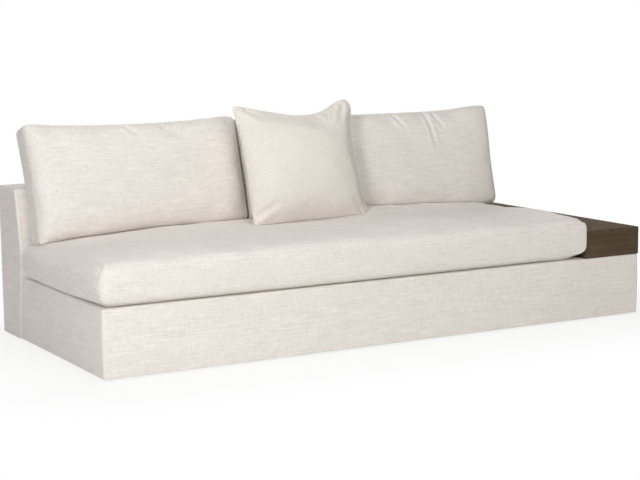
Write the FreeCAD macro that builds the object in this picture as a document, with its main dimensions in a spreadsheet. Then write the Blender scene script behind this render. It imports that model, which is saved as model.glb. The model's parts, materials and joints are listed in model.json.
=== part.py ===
"""Sofa with a wood ledge: plinth base, low pitched back, bench seat and loose cushions.

Millimetres. X runs along the sofa, -Y is the front, +Z is up. The origin lies on the floor, under the
middle of the footprint.
"""
import FreeCAD, Part
import math
import os
import Sketcher

DIMENSIONS = {
    # whole sofa
    "overall_length": 2642,
    "overall_depth": 1168,
    "glide_height": 12,
    "base_height": 270,
    "back_height": 648,
    "back_proud": 8,
    "back_top_thickness": 208,
    "back_deck_thickness": 283,
    "seam_knee_height": 368,
    "seam_floor_setback": 221,
    # upholstery that is fixed to the frame
    "cover_thickness": 12,
    "cover_radius": 8,
    "lip_width": 10,
    "back_pad_thickness": 25,
    "top_pad_thickness": 15,
    "top_pad_radius": 12,
    "dust_thickness": 1,
    # wood frame
    "rail_thickness": 25,
    "deck_rail_height": 90,
    "cross_rail_height": 110,
    "block_leg": 60,
    "block_height": 150,
    # webbing and deck
    "web_thickness": 2,
    "web_width": 55,
    "deck_pad_thickness": 12,
    "deck_cloth_thickness": 1.5,
    # glides
    "glide_diameter": 40,
    "glide_chamfer": 3,
    "glide_inset": 60,
    # wood ledge
    "ledge_width": 305,
    "ledge_height": 125,
    "ledge_board_thickness": 19,
    "ledge_top_thickness": 22,
    "ledge_radius": 2,
    "ledge_lap": 12,
    "cleat_size": 35,
    "screw_diameter": 5,
    "screw_length": 36,
    "screw_head_diameter": 9,
    "screw_head_height": 3,
    "screw_edge": 9,
    "screw_end": 140,
    "screw_clearance": 0.2,
    # loose cushions in general
    "rest_clearance": 0.3,
    "fit_clearance": 0.3,
    "cushion_cover": 2,
    "edge_round": 14,
    "edge_run": 28,
    # seat cushion
    "seat_overhang": 12,
    "seat_side_gap": 3,
    "seat_edge_height": 175,
    "seat_crown": 26,
    "seat_front_bulge": 30,
    "seat_rear_bulge": 8,
    "wrap_thickness": 20,
    # back cushions
    "back_left_width": 988,
    "back_inset": 30,
    "back_gap": 6,
    "back_over_ledge": 39,
    "back_thickness": 152,
    "back_lean": 17,
    "back_front_top": 922,
    "back_rear_top": 910,
    "back_front_crown": 26,
    "back_rear_crown": 8,
    "back_top_crown": 14,
    "back_seat_gap": 1.2,
    # throw pillow
    "pillow_width": 605,
    "pillow_height": 560,
    "pillow_thickness": 205,
    "pillow_drawn_in": 16,
    "pillow_seam": 12,
    "pillow_lean": 18,
    "pillow_place": 1255,
}
STRAP_COUNT_ACROSS = 14
STRAP_COUNT_ALONG = 6
STRAP_COUNT_BACK = 4
CROSS_RAIL_SHARES = (1 / 3, 2 / 3)
QUARTER_ROUND = 1 - 1 / math.sqrt(2)
# Crown of a cushion as a share of its full crown: at its very end, a little way in, and where it is full
END_CROWN = 0.5
EDGE_CROWN = 0.65
FULL_CROWN = 1.0
FULL_FROM, FULL_TO = 0.2, 0.8
SEATING_STEPS = 6

doc = FreeCAD.newDocument("wood_ledge_sofa")
sheet = doc.addObject("Spreadsheet::Sheet", "dims")
for row, (alias, number) in enumerate(DIMENSIONS.items(), start=1):
    sheet.set(f"A{row}", alias)
    sheet.set(f"B{row}", str(number))
    sheet.setAlias(f"B{row}", alias)
doc.recompute()
nodes = []

# Shared places, as expressions on the sheet
LEFT_END = "(-dims.overall_length / 2)"
BASE_LEFT = f"({LEFT_END} + dims.back_proud)"
RIGHT = "(dims.overall_length / 2)"
FRONT = "(-dims.overall_depth / 2)"
REAR = "(dims.overall_depth / 2)"
UNDER = "dims.glide_height"
BASE_TOP = "(dims.glide_height + dims.base_height)"
BACK_TOP = "(dims.glide_height + dims.back_height)"
TOP_PAD_FOOT = f"({BACK_TOP} - dims.top_pad_thickness)"
LEDGE_IN = f"({RIGHT} - dims.ledge_width)"
LEDGE_TOP = f"({BASE_TOP} + dims.ledge_height)"
LEDGE_BOARD_TOP = f"({LEDGE_TOP} - dims.ledge_top_thickness)"
RAIL_LEFT = f"({BASE_LEFT} + dims.cover_thickness)"
BACK_IN_RIGHT = f"({LEDGE_IN} - dims.cover_thickness)"
RAIL_RIGHT = f"({RIGHT} - dims.cover_thickness)"
RAIL_FRONT = f"({FRONT} + dims.cover_thickness)"
RAIL_REAR = f"({REAR} - dims.cover_thickness)"
RAIL_FOOT = f"({UNDER} + dims.dust_thickness)"
RAIL_TOP = f"({BASE_TOP} - dims.deck_cloth_thickness - dims.deck_pad_thickness - 2 * dims.web_thickness)"
SIDE_RAIL_TOP = f"({RAIL_TOP} + dims.web_thickness)"
FRONT_RAIL_IN = f"({RAIL_FRONT} + dims.rail_thickness)"
REAR_RAIL_IN = f"({RAIL_REAR} - dims.rail_thickness)"
DECK_FRONT = f"({RAIL_FRONT} + dims.lip_width)"
DECK_LEFT = f"({RAIL_LEFT} + dims.lip_width)"
DECK_RIGHT = f"({LEDGE_IN} + dims.ledge_lap)"
DECK_BACK = f"({REAR} - dims.back_deck_thickness)"
POST_SETBACK = "(dims.back_pad_thickness + dims.web_thickness)"
POST_FRONT = f"({DECK_BACK} + {POST_SETBACK})"
RAKE = "((dims.back_deck_thickness - dims.back_top_thickness) / (dims.back_height - dims.base_height))"


def value(expression):
    """Number that an expression on the sheet gives."""
    result = sheet.evalExpression(str(expression))
    return float(getattr(result, "Value", result))


def back_face(height, behind="0"):
    """Y of the pitched inside back at a height, or of a surface that lies some way behind it."""
    return f"({REAR} - dims.back_top_thickness - ({BACK_TOP} - {height}) * {RAKE} + {behind})"


def keep(solid):
    """Mark a document object as a piece of the sofa."""
    nodes.append(solid)
    return solid


def box(label, along_x, along_y, along_z):
    """Block between three pairs of places."""
    solid = doc.addObject("Part::Box", label)
    spans = (("x", "Length", along_x), ("y", "Width", along_y), ("z", "Height", along_z))
    for axis, size, (start, end) in spans:
        solid.setExpression(size, f"{end} - {start}")
        solid.setExpression(f"Placement.Base.{axis}", start)
    return solid


def group(label, members):
    """Separate solids that share one name."""
    compound = doc.addObject("Part::Compound", label)
    compound.Links = members
    return compound


def outline(body, name, role, corners, offset="0"):
    """Closed sketch on an origin plane of a body.

    Each corner is (u, v, bulge). A bulge makes the edge to the next corner an arc that stands out by
    that much, or is drawn in if it is negative. Corners run counter-clockwise, and every one is bound
    to the sheet.
    """
    sketch = body.newObject("Sketcher::SketchObject", name)
    plane = next(feature for feature in body.Origin.OriginFeatures if feature.Role == role)
    sketch.AttachmentSupport = [(plane, "")]
    sketch.MapMode = "FlatFace"
    sketch.setExpression("AttachmentOffset.Base.z", offset)
    points = [FreeCAD.Vector(value(u), value(v), 0) for u, v, bulge in corners]
    following = [(index + 1) % len(corners) for index in range(len(corners))]
    ends = []
    for index, (u, v, bulge) in enumerate(corners):
        start, end = points[index], points[following[index]]
        drawn_in = bulge is not None and value(bulge) < 0
        ends.append((2, 1) if drawn_in else (1, 2))
        if bulge is None:
            sketch.addGeometry(Part.LineSegment(start, end))
            continue
        outward = FreeCAD.Vector(end.y - start.y, start.x - end.x, 0).normalize()
        middle = (start + end) * 0.5 + outward * value(bulge)
        sketch.addGeometry(Part.Arc(end, middle, start) if drawn_in else Part.Arc(start, middle, end))
    for index, (u, v, bulge) in enumerate(corners):
        first, last = ends[index]
        after = following[index]
        sketch.addConstraint(Sketcher.Constraint("Coincident", index, last, after, ends[after][0]))
        bound = [("DistanceX", (-1, 1, index, first), u), ("DistanceY", (-1, 1, index, first), v)]
        if bulge is not None:
            next_u, next_v, _ = corners[after]
            chord = f"(({next_u} - {u})^2 + ({next_v} - {v})^2)"
            bound.append(("Radius", (index,), f"{chord} / (8 * abs({bulge})) + abs({bulge}) / 2"))
        for kind, geometry, expression in bound:
            number = sketch.addConstraint(Sketcher.Constraint(kind, *geometry, value(expression)))
            sketch.setExpression(f"Constraints[{number}]", expression)
    return sketch


def pad(body, name, role, corners, start, length):
    """Pad of a closed outline, from a place along the normal of its plane."""
    feature = body.newObject("PartDesign::Pad", name)
    feature.Profile = outline(body, f"{name}_outline", role, corners, start)
    feature.setExpression("Length", length)
    return feature


def prism(label, corners, start, end, role="YZ_Plane"):
    """Body of one padded outline between two places."""
    body = doc.addObject("PartDesign::Body", label)
    pad(body, f"{label}_pad", role, corners, start, f"{end} - {start}")
    return body


def rectangle(along_u, along_v):
    """Corners of a plain rectangle."""
    (u0, u1), (v0, v1) = along_u, along_v
    return [(u0, v0, None), (u1, v0, None), (u1, v1, None), (u0, v1, None)]


def turned(label, half_outline, x, y, z):
    """Body turned about an upright axis at a place."""
    body = doc.addObject("PartDesign::Body", label)
    feature = body.newObject("PartDesign::Revolution", f"{label}_turn")
    sketch = outline(body, f"{label}_outline", "XZ_Plane", half_outline)
    feature.Profile = sketch
    feature.ReferenceAxis = (sketch, ["V_Axis"])
    feature.Angle = 360
    for axis, place in (("x", x), ("y", y), ("z", z)):
        body.setExpression(f"Placement.Base.{axis}", place)
    return body


def spread(start, end, count):
    """Places of the middles of evenly spread copies between two places."""
    return [f"({start} + ({end} - {start}) * {(index + 0.5) / count})" for index in range(count)]


def half_each_way(middle, width):
    """Span of a width about its middle."""
    return (f"({middle} - {width} / 2)", f"({middle} + {width} / 2)")


# Base frame
LEFT_RAIL_IN = f"({RAIL_LEFT} + dims.rail_thickness)"
RIGHT_RAIL_IN = f"({RAIL_RIGHT} - dims.rail_thickness)"
SUPPORT_RAIL_IN = f"({LEDGE_IN} + dims.rail_thickness)"
CROSS_RAILS = [f"({RAIL_LEFT} + ({LEDGE_IN} - {RAIL_LEFT}) * {share})" for share in CROSS_RAIL_SHARES]
keep(box("base_front_rail", (RAIL_LEFT, RAIL_RIGHT), (RAIL_FRONT, FRONT_RAIL_IN), (RAIL_FOOT, RAIL_TOP)))
keep(box("base_rear_rail", (RAIL_LEFT, RAIL_RIGHT), (REAR_RAIL_IN, RAIL_REAR), (RAIL_FOOT, RAIL_TOP)))
keep(box("base_left_rail", (RAIL_LEFT, LEFT_RAIL_IN), (FRONT_RAIL_IN, POST_FRONT),
         (RAIL_FOOT, SIDE_RAIL_TOP)))
keep(box("base_right_rail", (RIGHT_RAIL_IN, RAIL_RIGHT), (FRONT_RAIL_IN, REAR_RAIL_IN),
         (RAIL_FOOT, SIDE_RAIL_TOP)))
keep(box("ledge_support_rail", (LEDGE_IN, SUPPORT_RAIL_IN), (FRONT_RAIL_IN, REAR_RAIL_IN),
         (RAIL_FOOT, SIDE_RAIL_TOP)))
keep(box("deck_rear_rail", (LEFT_RAIL_IN, LEDGE_IN), (DECK_BACK, POST_FRONT),
         (f"({RAIL_TOP} - dims.deck_rail_height)", RAIL_TOP)))
for label, place in zip(("cross_rail_left", "cross_rail_right"), CROSS_RAILS):
    keep(box(label, (place, f"({place} + dims.rail_thickness)"), (FRONT_RAIL_IN, REAR_RAIL_IN),
             (RAIL_FOOT, f"({RAIL_FOOT} + dims.cross_rail_height)")))

BLOCK_CORNERS = (
    (LEFT_RAIL_IN, FRONT_RAIL_IN, 1, 1),
    (LEFT_RAIL_IN, REAR_RAIL_IN, 1, -1),
    (SUPPORT_RAIL_IN, FRONT_RAIL_IN, 1, 1),
    (SUPPORT_RAIL_IN, REAR_RAIL_IN, 1, -1),
    (RIGHT_RAIL_IN, FRONT_RAIL_IN, -1, 1),
    (RIGHT_RAIL_IN, REAR_RAIL_IN, -1, -1),
)
blocks = []
for index, (x, y, way_x, way_y) in enumerate(BLOCK_CORNERS):
    corners = [(x, y, None), (f"({x} + {way_x} * dims.block_leg)", y, None),
               (x, f"({y} + {way_y} * dims.block_leg)", None)]
    if way_x * way_y < 0:
        corners.reverse()
    blocks.append(prism(f"corner_block_{index}", corners, RAIL_FOOT,
                        f"({RAIL_FOOT} + dims.block_height)", "XY_Plane"))
keep(group("corner_blocks", blocks))

# Back frame: notched uprights with a pitched front edge, and a rail on top of them
POST_TOP = f"({TOP_PAD_FOOT} - dims.rail_thickness)"
POST_CORNERS = [
    (POST_FRONT, RAIL_FOOT, None),
    (REAR_RAIL_IN, RAIL_FOOT, None),
    (REAR_RAIL_IN, RAIL_TOP, None),
    (RAIL_REAR, RAIL_TOP, None),
    (RAIL_REAR, POST_TOP, None),
    (back_face(POST_TOP, POST_SETBACK), POST_TOP, None),
    (POST_FRONT, BASE_TOP, None),
]
POST_PLACES = {
    "back_post_left": RAIL_LEFT,
    "back_post_mid_left": f"({CROSS_RAILS[0]} + dims.rail_thickness)",
    "back_post_mid_right": f"({CROSS_RAILS[1]} + dims.rail_thickness)",
    "back_post_right": f"({BACK_IN_RIGHT} - dims.rail_thickness)",
}
for label, place in POST_PLACES.items():
    keep(prism(label, POST_CORNERS, place, f"({place} + dims.rail_thickness)"))
keep(box("back_top_rail", (RAIL_LEFT, BACK_IN_RIGHT),
         (back_face(TOP_PAD_FOOT, POST_SETBACK), RAIL_REAR), (POST_TOP, TOP_PAD_FOOT)))

# Webbing, deck and dust cover
WEB_TOP = f"({RAIL_TOP} + 2 * dims.web_thickness)"
depth_straps = [
    box(f"depth_strap_{index}", half_each_way(place, "dims.web_width"), (DECK_FRONT, POST_FRONT),
        (RAIL_TOP, SIDE_RAIL_TOP))
    for index, place in enumerate(spread(LEFT_RAIL_IN, LEDGE_IN, STRAP_COUNT_ACROSS))
]
keep(group("seat_webbing_depth", depth_straps))
length_straps = [
    box(f"length_strap_{index}", (DECK_LEFT, DECK_RIGHT), half_each_way(place, "dims.web_width"),
        (SIDE_RAIL_TOP, WEB_TOP))
    for index, place in enumerate(spread(FRONT_RAIL_IN, DECK_BACK, STRAP_COUNT_ALONG))
]
keep(group("seat_webbing_length", length_straps))
back_straps = []
for index, place in enumerate(spread(BASE_TOP, POST_TOP, STRAP_COUNT_BACK)):
    low, high = half_each_way(place, "dims.web_width")
    corners = [(back_face(low, "dims.back_pad_thickness"), low, None),
               (back_face(low, POST_SETBACK), low, None),
               (back_face(high, POST_SETBACK), high, None),
               (back_face(high, "dims.back_pad_thickness"), high, None)]
    back_straps.append(prism(f"back_strap_{index}", corners, RAIL_LEFT, BACK_IN_RIGHT))
keep(group("back_webbing", back_straps))
DECK_PAD_TOP = f"({WEB_TOP} + dims.deck_pad_thickness)"
keep(box("deck_pad", (DECK_LEFT, DECK_RIGHT), (DECK_FRONT, POST_FRONT), (WEB_TOP, DECK_PAD_TOP)))
keep(box("deck_cloth", (DECK_LEFT, DECK_RIGHT), (DECK_FRONT, POST_FRONT), (DECK_PAD_TOP, BASE_TOP)))
keep(box("dust_cover", (RAIL_LEFT, RAIL_RIGHT), (RAIL_FRONT, RAIL_REAR), (UNDER, RAIL_FOOT)))

# Glides under the rails
GLIDE_HALF = [
    ("0", "0", None),
    ("(dims.glide_diameter / 2 - dims.glide_chamfer)", "0", None),
    ("(dims.glide_diameter / 2)", "dims.glide_chamfer", None),
    ("(dims.glide_diameter / 2)", "dims.glide_height", None),
    ("0", "dims.glide_height", None),
]
GLIDE_ROWS = (f"({FRONT} + dims.glide_inset)", f"({REAR} - dims.glide_inset)")
GLIDE_COLUMNS = [f"({BASE_LEFT} + dims.glide_inset)"]
GLIDE_COLUMNS += [f"({place} + dims.rail_thickness / 2)" for place in CROSS_RAILS]
GLIDE_COLUMNS += [f"({RIGHT} - dims.glide_inset)"]
glides = []
for y in GLIDE_ROWS:
    for x in GLIDE_COLUMNS:
        glides.append(turned(f"glide_{len(glides)}", GLIDE_HALF, x, y, "0"))
keep(group("glides", glides))

# Fixed upholstery: padded covers with lips that turn over the rails, and the back's padding
COVER_ROUND = f"({QUARTER_ROUND} * dims.cover_radius)"
front_cover = prism("base_front_cover", [
    (FRONT, UNDER, None),
    (RAIL_FRONT, UNDER, None),
    (RAIL_FRONT, BASE_TOP, None),
    (f"({FRONT} + dims.cover_radius)", BASE_TOP, COVER_ROUND),
    (FRONT, f"({BASE_TOP} - dims.cover_radius)", None),
], BASE_LEFT, RIGHT)
pad(front_cover, "front_lip", "YZ_Plane", rectangle((RAIL_FRONT, DECK_FRONT), (RAIL_TOP, BASE_TOP)),
    RAIL_LEFT, f"{RAIL_RIGHT} - {RAIL_LEFT}")
keep(front_cover)

KNEE = f"({UNDER} + dims.seam_knee_height)"
SEAM_FOOT = f"({REAR} - dims.seam_floor_setback)"
SEAM_SLOPE = f"(({SEAM_FOOT} - {back_face(KNEE)}) / dims.seam_knee_height)"
SEAM_AT_BASE_TOP = f"({SEAM_FOOT} - {SEAM_SLOPE} * dims.base_height)"
left_cover = prism("base_left_cover", [
    (RAIL_FRONT, UNDER, None),
    (SEAM_FOOT, UNDER, None),
    (SEAM_AT_BASE_TOP, BASE_TOP, None),
    (RAIL_FRONT, BASE_TOP, None),
], BASE_LEFT, RAIL_LEFT)
pad(left_cover, "left_lip", "YZ_Plane", rectangle((DECK_FRONT, DECK_BACK), (SIDE_RAIL_TOP, BASE_TOP)),
    RAIL_LEFT, "dims.lip_width")
keep(left_cover)

right_cover = prism("base_right_cover", rectangle((RAIL_FRONT, RAIL_REAR), (UNDER, BASE_TOP)),
                    RAIL_RIGHT, RIGHT)
pad(right_cover, "right_lip", "YZ_Plane", rectangle((DECK_FRONT, RAIL_REAR), (SIDE_RAIL_TOP, BASE_TOP)),
    f"({RAIL_RIGHT} - dims.lip_width)", "dims.lip_width")
keep(right_cover)
keep(box("ledge_rear_cover", (LEDGE_IN, RIGHT), (RAIL_REAR, REAR), (UNDER, BASE_TOP)))

keep(prism("outside_back_cover", [
    (RAIL_REAR, UNDER, None),
    (REAR, UNDER, None),
    (REAR, f"({BACK_TOP} - dims.cover_radius)", COVER_ROUND),
    (f"({REAR} - dims.cover_radius)", BACK_TOP, None),
    (RAIL_REAR, BACK_TOP, None),
], LEFT_END, LEDGE_IN))
keep(prism("inside_back_pad", [
    (back_face(BASE_TOP), BASE_TOP, None),
    (back_face(BASE_TOP, "dims.back_pad_thickness"), BASE_TOP, None),
    (back_face(TOP_PAD_FOOT, "dims.back_pad_thickness"), TOP_PAD_FOOT, None),
    (back_face(TOP_PAD_FOOT), TOP_PAD_FOOT, None),
], RAIL_LEFT, BACK_IN_RIGHT))
TOP_ROUND = f"({QUARTER_ROUND} * dims.top_pad_radius)"
TOP_ROUND_FOOT = f"({BACK_TOP} - dims.top_pad_radius)"
TOP_FRONT_ROUND = [
    (f"({back_face(BACK_TOP)} + dims.top_pad_radius)", BACK_TOP, TOP_ROUND),
    (back_face(TOP_ROUND_FOOT), TOP_ROUND_FOOT, None),
]
keep(prism("back_top_pad", [
    (back_face(TOP_PAD_FOOT), TOP_PAD_FOOT, None),
    (RAIL_REAR, TOP_PAD_FOOT, None),
    (RAIL_REAR, BACK_TOP, None),
] + TOP_FRONT_ROUND, RAIL_LEFT, BACK_IN_RIGHT))
keep(prism("back_left_end_cover", [
    (SEAM_FOOT, UNDER, None),
    (RAIL_REAR, UNDER, None),
    (RAIL_REAR, BACK_TOP, None),
] + TOP_FRONT_ROUND + [(back_face(KNEE), KNEE, None)], LEFT_END, RAIL_LEFT))
keep(prism("back_right_end_cover", [
    (back_face(BASE_TOP), BASE_TOP, None),
    (RAIL_REAR, BASE_TOP, None),
    (RAIL_REAR, BACK_TOP, None),
] + TOP_FRONT_ROUND, BACK_IN_RIGHT, LEDGE_IN))

# Wood ledge: boards glued to cleats, screwed to a board on the base
BOARD_IN_LEFT = f"({LEDGE_IN} + dims.ledge_board_thickness)"
BOARD_IN_RIGHT = f"({RIGHT} - dims.ledge_board_thickness)"
BOARD_IN_FRONT = f"({FRONT} + dims.ledge_board_thickness)"
BOARD_IN_REAR = f"({REAR} - dims.ledge_board_thickness)"
LEDGE_ROUND = f"({QUARTER_ROUND} * dims.ledge_radius)"
keep(prism("ledge_top", [
    (LEDGE_IN, LEDGE_BOARD_TOP, None),
    (RIGHT, LEDGE_BOARD_TOP, None),
    (RIGHT, f"({LEDGE_TOP} - dims.ledge_radius)", LEDGE_ROUND),
    (f"({RIGHT} - dims.ledge_radius)", LEDGE_TOP, None),
    (f"({LEDGE_IN} + dims.ledge_radius)", LEDGE_TOP, LEDGE_ROUND),
    (LEDGE_IN, f"({LEDGE_TOP} - dims.ledge_radius)", None),
], FRONT, REAR, "XZ_Plane"))
keep(box("ledge_front", (LEDGE_IN, RIGHT), (FRONT, BOARD_IN_FRONT), (BASE_TOP, LEDGE_BOARD_TOP)))
keep(box("ledge_rear", (LEDGE_IN, RIGHT), (BOARD_IN_REAR, REAR), (BASE_TOP, LEDGE_BOARD_TOP)))
keep(box("ledge_inner_side", (LEDGE_IN, BOARD_IN_LEFT), (BOARD_IN_FRONT, BOARD_IN_REAR),
         (BASE_TOP, LEDGE_BOARD_TOP)))
keep(box("ledge_outer_side", (BOARD_IN_RIGHT, RIGHT), (BOARD_IN_FRONT, BOARD_IN_REAR),
         (BASE_TOP, LEDGE_BOARD_TOP)))
CLEAT_SPANS = (
    (BOARD_IN_LEFT, f"({BOARD_IN_LEFT} + dims.cleat_size)"),
    (f"({BOARD_IN_RIGHT} - dims.cleat_size)", BOARD_IN_RIGHT),
)
SCREW_COLUMNS = (f"({CLEAT_SPANS[0][1]} - dims.screw_edge)", f"({CLEAT_SPANS[1][0]} + dims.screw_edge)")
SCREW_ROWS = (f"({BOARD_IN_FRONT} + dims.screw_end)", f"({BOARD_IN_REAR} - dims.screw_end)")
SCREW_PLACES = [(x, y) for x in SCREW_COLUMNS for y in SCREW_ROWS]
BORE = "(dims.screw_diameter / 2 + dims.screw_clearance)"


def bored(label, blank):
    """Wood piece with the bores that the ledge screws pass through."""
    bores = []
    for index, (x, y) in enumerate(SCREW_PLACES):
        bore = doc.addObject("Part::Cylinder", f"{label}_bore_{index}")
        bore.setExpression("Radius", BORE)
        bore.setExpression("Height", "dims.screw_length + dims.screw_clearance")
        for axis, place in (("x", x), ("y", y), ("z", SIDE_RAIL_TOP)):
            bore.setExpression(f"Placement.Base.{axis}", place)
        bores.append(bore)
    cut = doc.addObject("Part::Cut", label)
    cut.Base = blank
    cut.Tool = group(f"{label}_bores", bores)
    return cut


keep(bored("ledge_board", box("ledge_board_blank", (DECK_RIGHT, f"({RAIL_RIGHT} - dims.lip_width)"),
                              (DECK_FRONT, RAIL_REAR), (SIDE_RAIL_TOP, BASE_TOP))))
lower_cleats = [
    box(f"lower_cleat_{index}", span, (BOARD_IN_FRONT, BOARD_IN_REAR),
        (BASE_TOP, f"({BASE_TOP} + dims.cleat_size)"))
    for index, span in enumerate(CLEAT_SPANS)
]
keep(bored("ledge_lower_cleats", group("lower_cleat_blanks", lower_cleats)))
upper_cleats = [
    box(f"upper_cleat_{index}", span, (BOARD_IN_FRONT, BOARD_IN_REAR),
        (f"({LEDGE_BOARD_TOP} - dims.cleat_size)", LEDGE_BOARD_TOP))
    for index, span in enumerate(CLEAT_SPANS)
]
keep(group("ledge_upper_cleats", upper_cleats))
SCREW_HALF = [
    ("0", "(-dims.screw_head_height)", None),
    ("(dims.screw_head_diameter / 2)", "(-dims.screw_head_height)", None),
    ("(dims.screw_head_diameter / 2)", "0", None),
    ("(dims.screw_diameter / 2)", "0", None),
    ("(dims.screw_diameter / 2)", "dims.screw_length", None),
    ("0", "dims.screw_length", None),
]
screws = [turned(f"ledge_screw_{index}", SCREW_HALF, x, y, SIDE_RAIL_TOP)
          for index, (x, y) in enumerate(SCREW_PLACES)]
keep(group("ledge_screws", screws))

# Loose cushions: lofts through crowned sections, drawn in at both ends
STATIONS = (
    ("0", "dims.edge_round", END_CROWN),
    ("dims.edge_run", "0", EDGE_CROWN),
    (FULL_FROM, "0", FULL_CROWN),
    (FULL_TO, "0", FULL_CROWN),
    ("-dims.edge_run", "0", EDGE_CROWN),
    ("-0", "dims.edge_round", END_CROWN),
)


def station_place(place, left, right):
    """X of a section: a share of the width, or a distance from the left or, if negative, the right end."""
    if isinstance(place, float):
        return f"({left} + ({right} - {left}) * {place})"
    return f"({right} - {place[1:]})" if place.startswith("-") else f"({left} + {place})"


def loft(body, name, sections, hollow=False):
    """Loft through sketched sections, added to a body or cut out of it."""
    feature = body.newObject(f"PartDesign::{'SubtractiveLoft' if hollow else 'AdditiveLoft'}", name)
    feature.Profile = sections[0]
    feature.Sections = sections[1:]
    feature.Ruled = True
    return feature


def cushion_loft(body, name, section, left, right, inset, hollow=False):
    """Crowned cushion form, some way inside the outer surface.

    The section function takes the inset of the section and its crown as a share, and gives corners.
    """
    sections = []
    for index, (place, drawn_in, crown) in enumerate(STATIONS):
        x = station_place(place, f"({left} + {inset})", f"({right} - {inset})")
        corners = section(f"({inset} + {drawn_in})", crown)
        sections.append(outline(body, f"{name}_section_{index}", "YZ_Plane", corners, x))
    return loft(body, name, sections, hollow)


FILL_INSET = "(dims.cushion_cover + dims.fit_clearance)"


def cover_and_filling(cover_label, filling_label, section, left, right):
    """Hollow cover, which is kept, and the filling that fits in it, which is given back."""
    cover = keep(doc.addObject("PartDesign::Body", cover_label))
    cushion_loft(cover, f"{cover_label}_outside", section, left, right, "0")
    cushion_loft(cover, f"{cover_label}_inside", section, left, right, "dims.cushion_cover", hollow=True)
    filling = doc.addObject("PartDesign::Body", filling_label)
    cushion_loft(filling, f"{filling_label}_form", section, left, right, FILL_INSET)
    return filling


SEAT_LEFT = BASE_LEFT
SEAT_RIGHT = f"({LEDGE_IN} - dims.seat_side_gap)"
SEAT_FRONT = f"({FRONT} - dims.seat_overhang + dims.seat_front_bulge)"
SEAT_REAR = f"({DECK_BACK} - dims.rest_clearance)"
SEAT_FOOT = f"({BASE_TOP} + dims.rest_clearance)"
SEAT_EDGE_TOP = f"({SEAT_FOOT} + dims.seat_edge_height)"


def seat_section(inset, crown):
    """Corners of the seat cushion's section: bullnose front, crowned top, fuller rear."""
    front, rear = f"({SEAT_FRONT} + {inset})", f"({SEAT_REAR} - {inset})"
    foot, top = f"({SEAT_FOOT} + {inset})", f"({SEAT_EDGE_TOP} - {inset})"
    return [(front, foot, None), (rear, foot, "dims.seat_rear_bulge"),
            (rear, top, f"({crown} * dims.seat_crown)"), (front, top, "dims.seat_front_bulge")]


wrap_form = cover_and_filling("seat_cover", "seat_wrap_form", seat_section, SEAT_LEFT, SEAT_RIGHT)


def seat_block(label, inset):
    """Plain block some way inside the seat cushion's edges."""
    return box(label, (f"({SEAT_LEFT} + {inset})", f"({SEAT_RIGHT} - {inset})"),
               (f"({SEAT_FRONT} + {inset})", f"({SEAT_REAR} - {inset})"),
               (f"({SEAT_FOOT} + {inset})", f"({SEAT_EDGE_TOP} - {inset})"))


WRAP_INSET = f"({FILL_INSET} + dims.edge_round + dims.wrap_thickness)"
fibre_wrap = doc.addObject("Part::Cut", "seat_fibre_wrap")
fibre_wrap.Base = wrap_form
fibre_wrap.Tool = seat_block("seat_core_space", WRAP_INSET)
keep(fibre_wrap)
keep(seat_block("seat_foam_core", f"({WRAP_INSET} + dims.fit_clearance)"))

LEAN_SLOPE = "tan(dims.back_lean)"
SEAT_CHORD = f"({SEAT_REAR} - {SEAT_FRONT})"
SEAT_MIDDLE = f"(({SEAT_REAR} + {SEAT_FRONT}) / 2)"
SEAT_ARC = f"({SEAT_CHORD}^2 / (8 * dims.seat_crown) + dims.seat_crown / 2)"


def seat_top(y):
    """Height of the seat cushion's crown at a place from front to rear."""
    drop = f"({SEAT_ARC} - sqrt({SEAT_ARC}^2 - ({y} - {SEAT_MIDDLE})^2))"
    return f"({SEAT_EDGE_TOP} + dims.seat_crown - {drop})"


def lean_face(height, forward="0"):
    """Y of the back cushions' rear face at a height: it leans on the top edge of the back."""
    rest = f"({REAR} - dims.back_top_thickness - dims.back_rear_crown / cos(dims.back_lean))"
    return f"({rest} - 2 * dims.rest_clearance + ({height} - {BACK_TOP}) * {LEAN_SLOPE} - {forward})"


BACK_FOOT_REAR = f"({SEAT_EDGE_TOP} + dims.back_seat_gap)"
BACK_FOOT_Y = lean_face(SEAT_EDGE_TOP, "dims.back_thickness")
BACK_FOOT_FRONT = f"({seat_top(BACK_FOOT_Y)} + dims.back_seat_gap)"


def back_section(inset, crown):
    """Corners of a back cushion's section: it leans back and sits on the seat cushion's slope."""
    corners = (
        (lean_face(BACK_FOOT_FRONT, "dims.back_thickness"), BACK_FOOT_FRONT, 1, 1, None),
        (lean_face(BACK_FOOT_REAR), BACK_FOOT_REAR, -1, 1, "dims.back_rear_crown"),
        (lean_face("dims.back_rear_top"), "dims.back_rear_top", -1, -1, "dims.back_top_crown"),
        (lean_face("dims.back_front_top", "dims.back_thickness"), "dims.back_front_top", 1, -1,
         f"({crown} * dims.back_front_crown)"),
    )
    return [(f"({y} + {way_y} * {inset})", f"({z} + {way_z} * {inset})", bulge)
            for y, z, way_y, way_z, bulge in corners]


BACK_LEFT_START = f"({BASE_LEFT} + dims.back_inset)"
BACK_LEFT_END = f"({BACK_LEFT_START} + dims.back_left_width)"
BACK_RIGHT_START = f"({BACK_LEFT_END} + dims.back_gap)"
BACK_RIGHT_END = f"({LEDGE_IN} + dims.back_over_ledge)"
BACK_SPANS = {
    "left": (BACK_LEFT_START, BACK_LEFT_END),
    "right": (BACK_RIGHT_START, BACK_RIGHT_END),
}
for side, (start, end) in BACK_SPANS.items():
    keep(cover_and_filling(f"back_cover_{side}", f"back_filling_{side}", back_section, start, end))

# Throw pillow: a knife-edge square, full in the middle and drawn in along its edges, that leans on the
# right back cushion. Its form is what two crossed lens sections and a drawn-in square share.
PILLOW_BULGE = "((dims.pillow_thickness - dims.pillow_seam) / 2)"
PILLOW_WAY_IN = "(-dims.pillow_drawn_in)"


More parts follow.
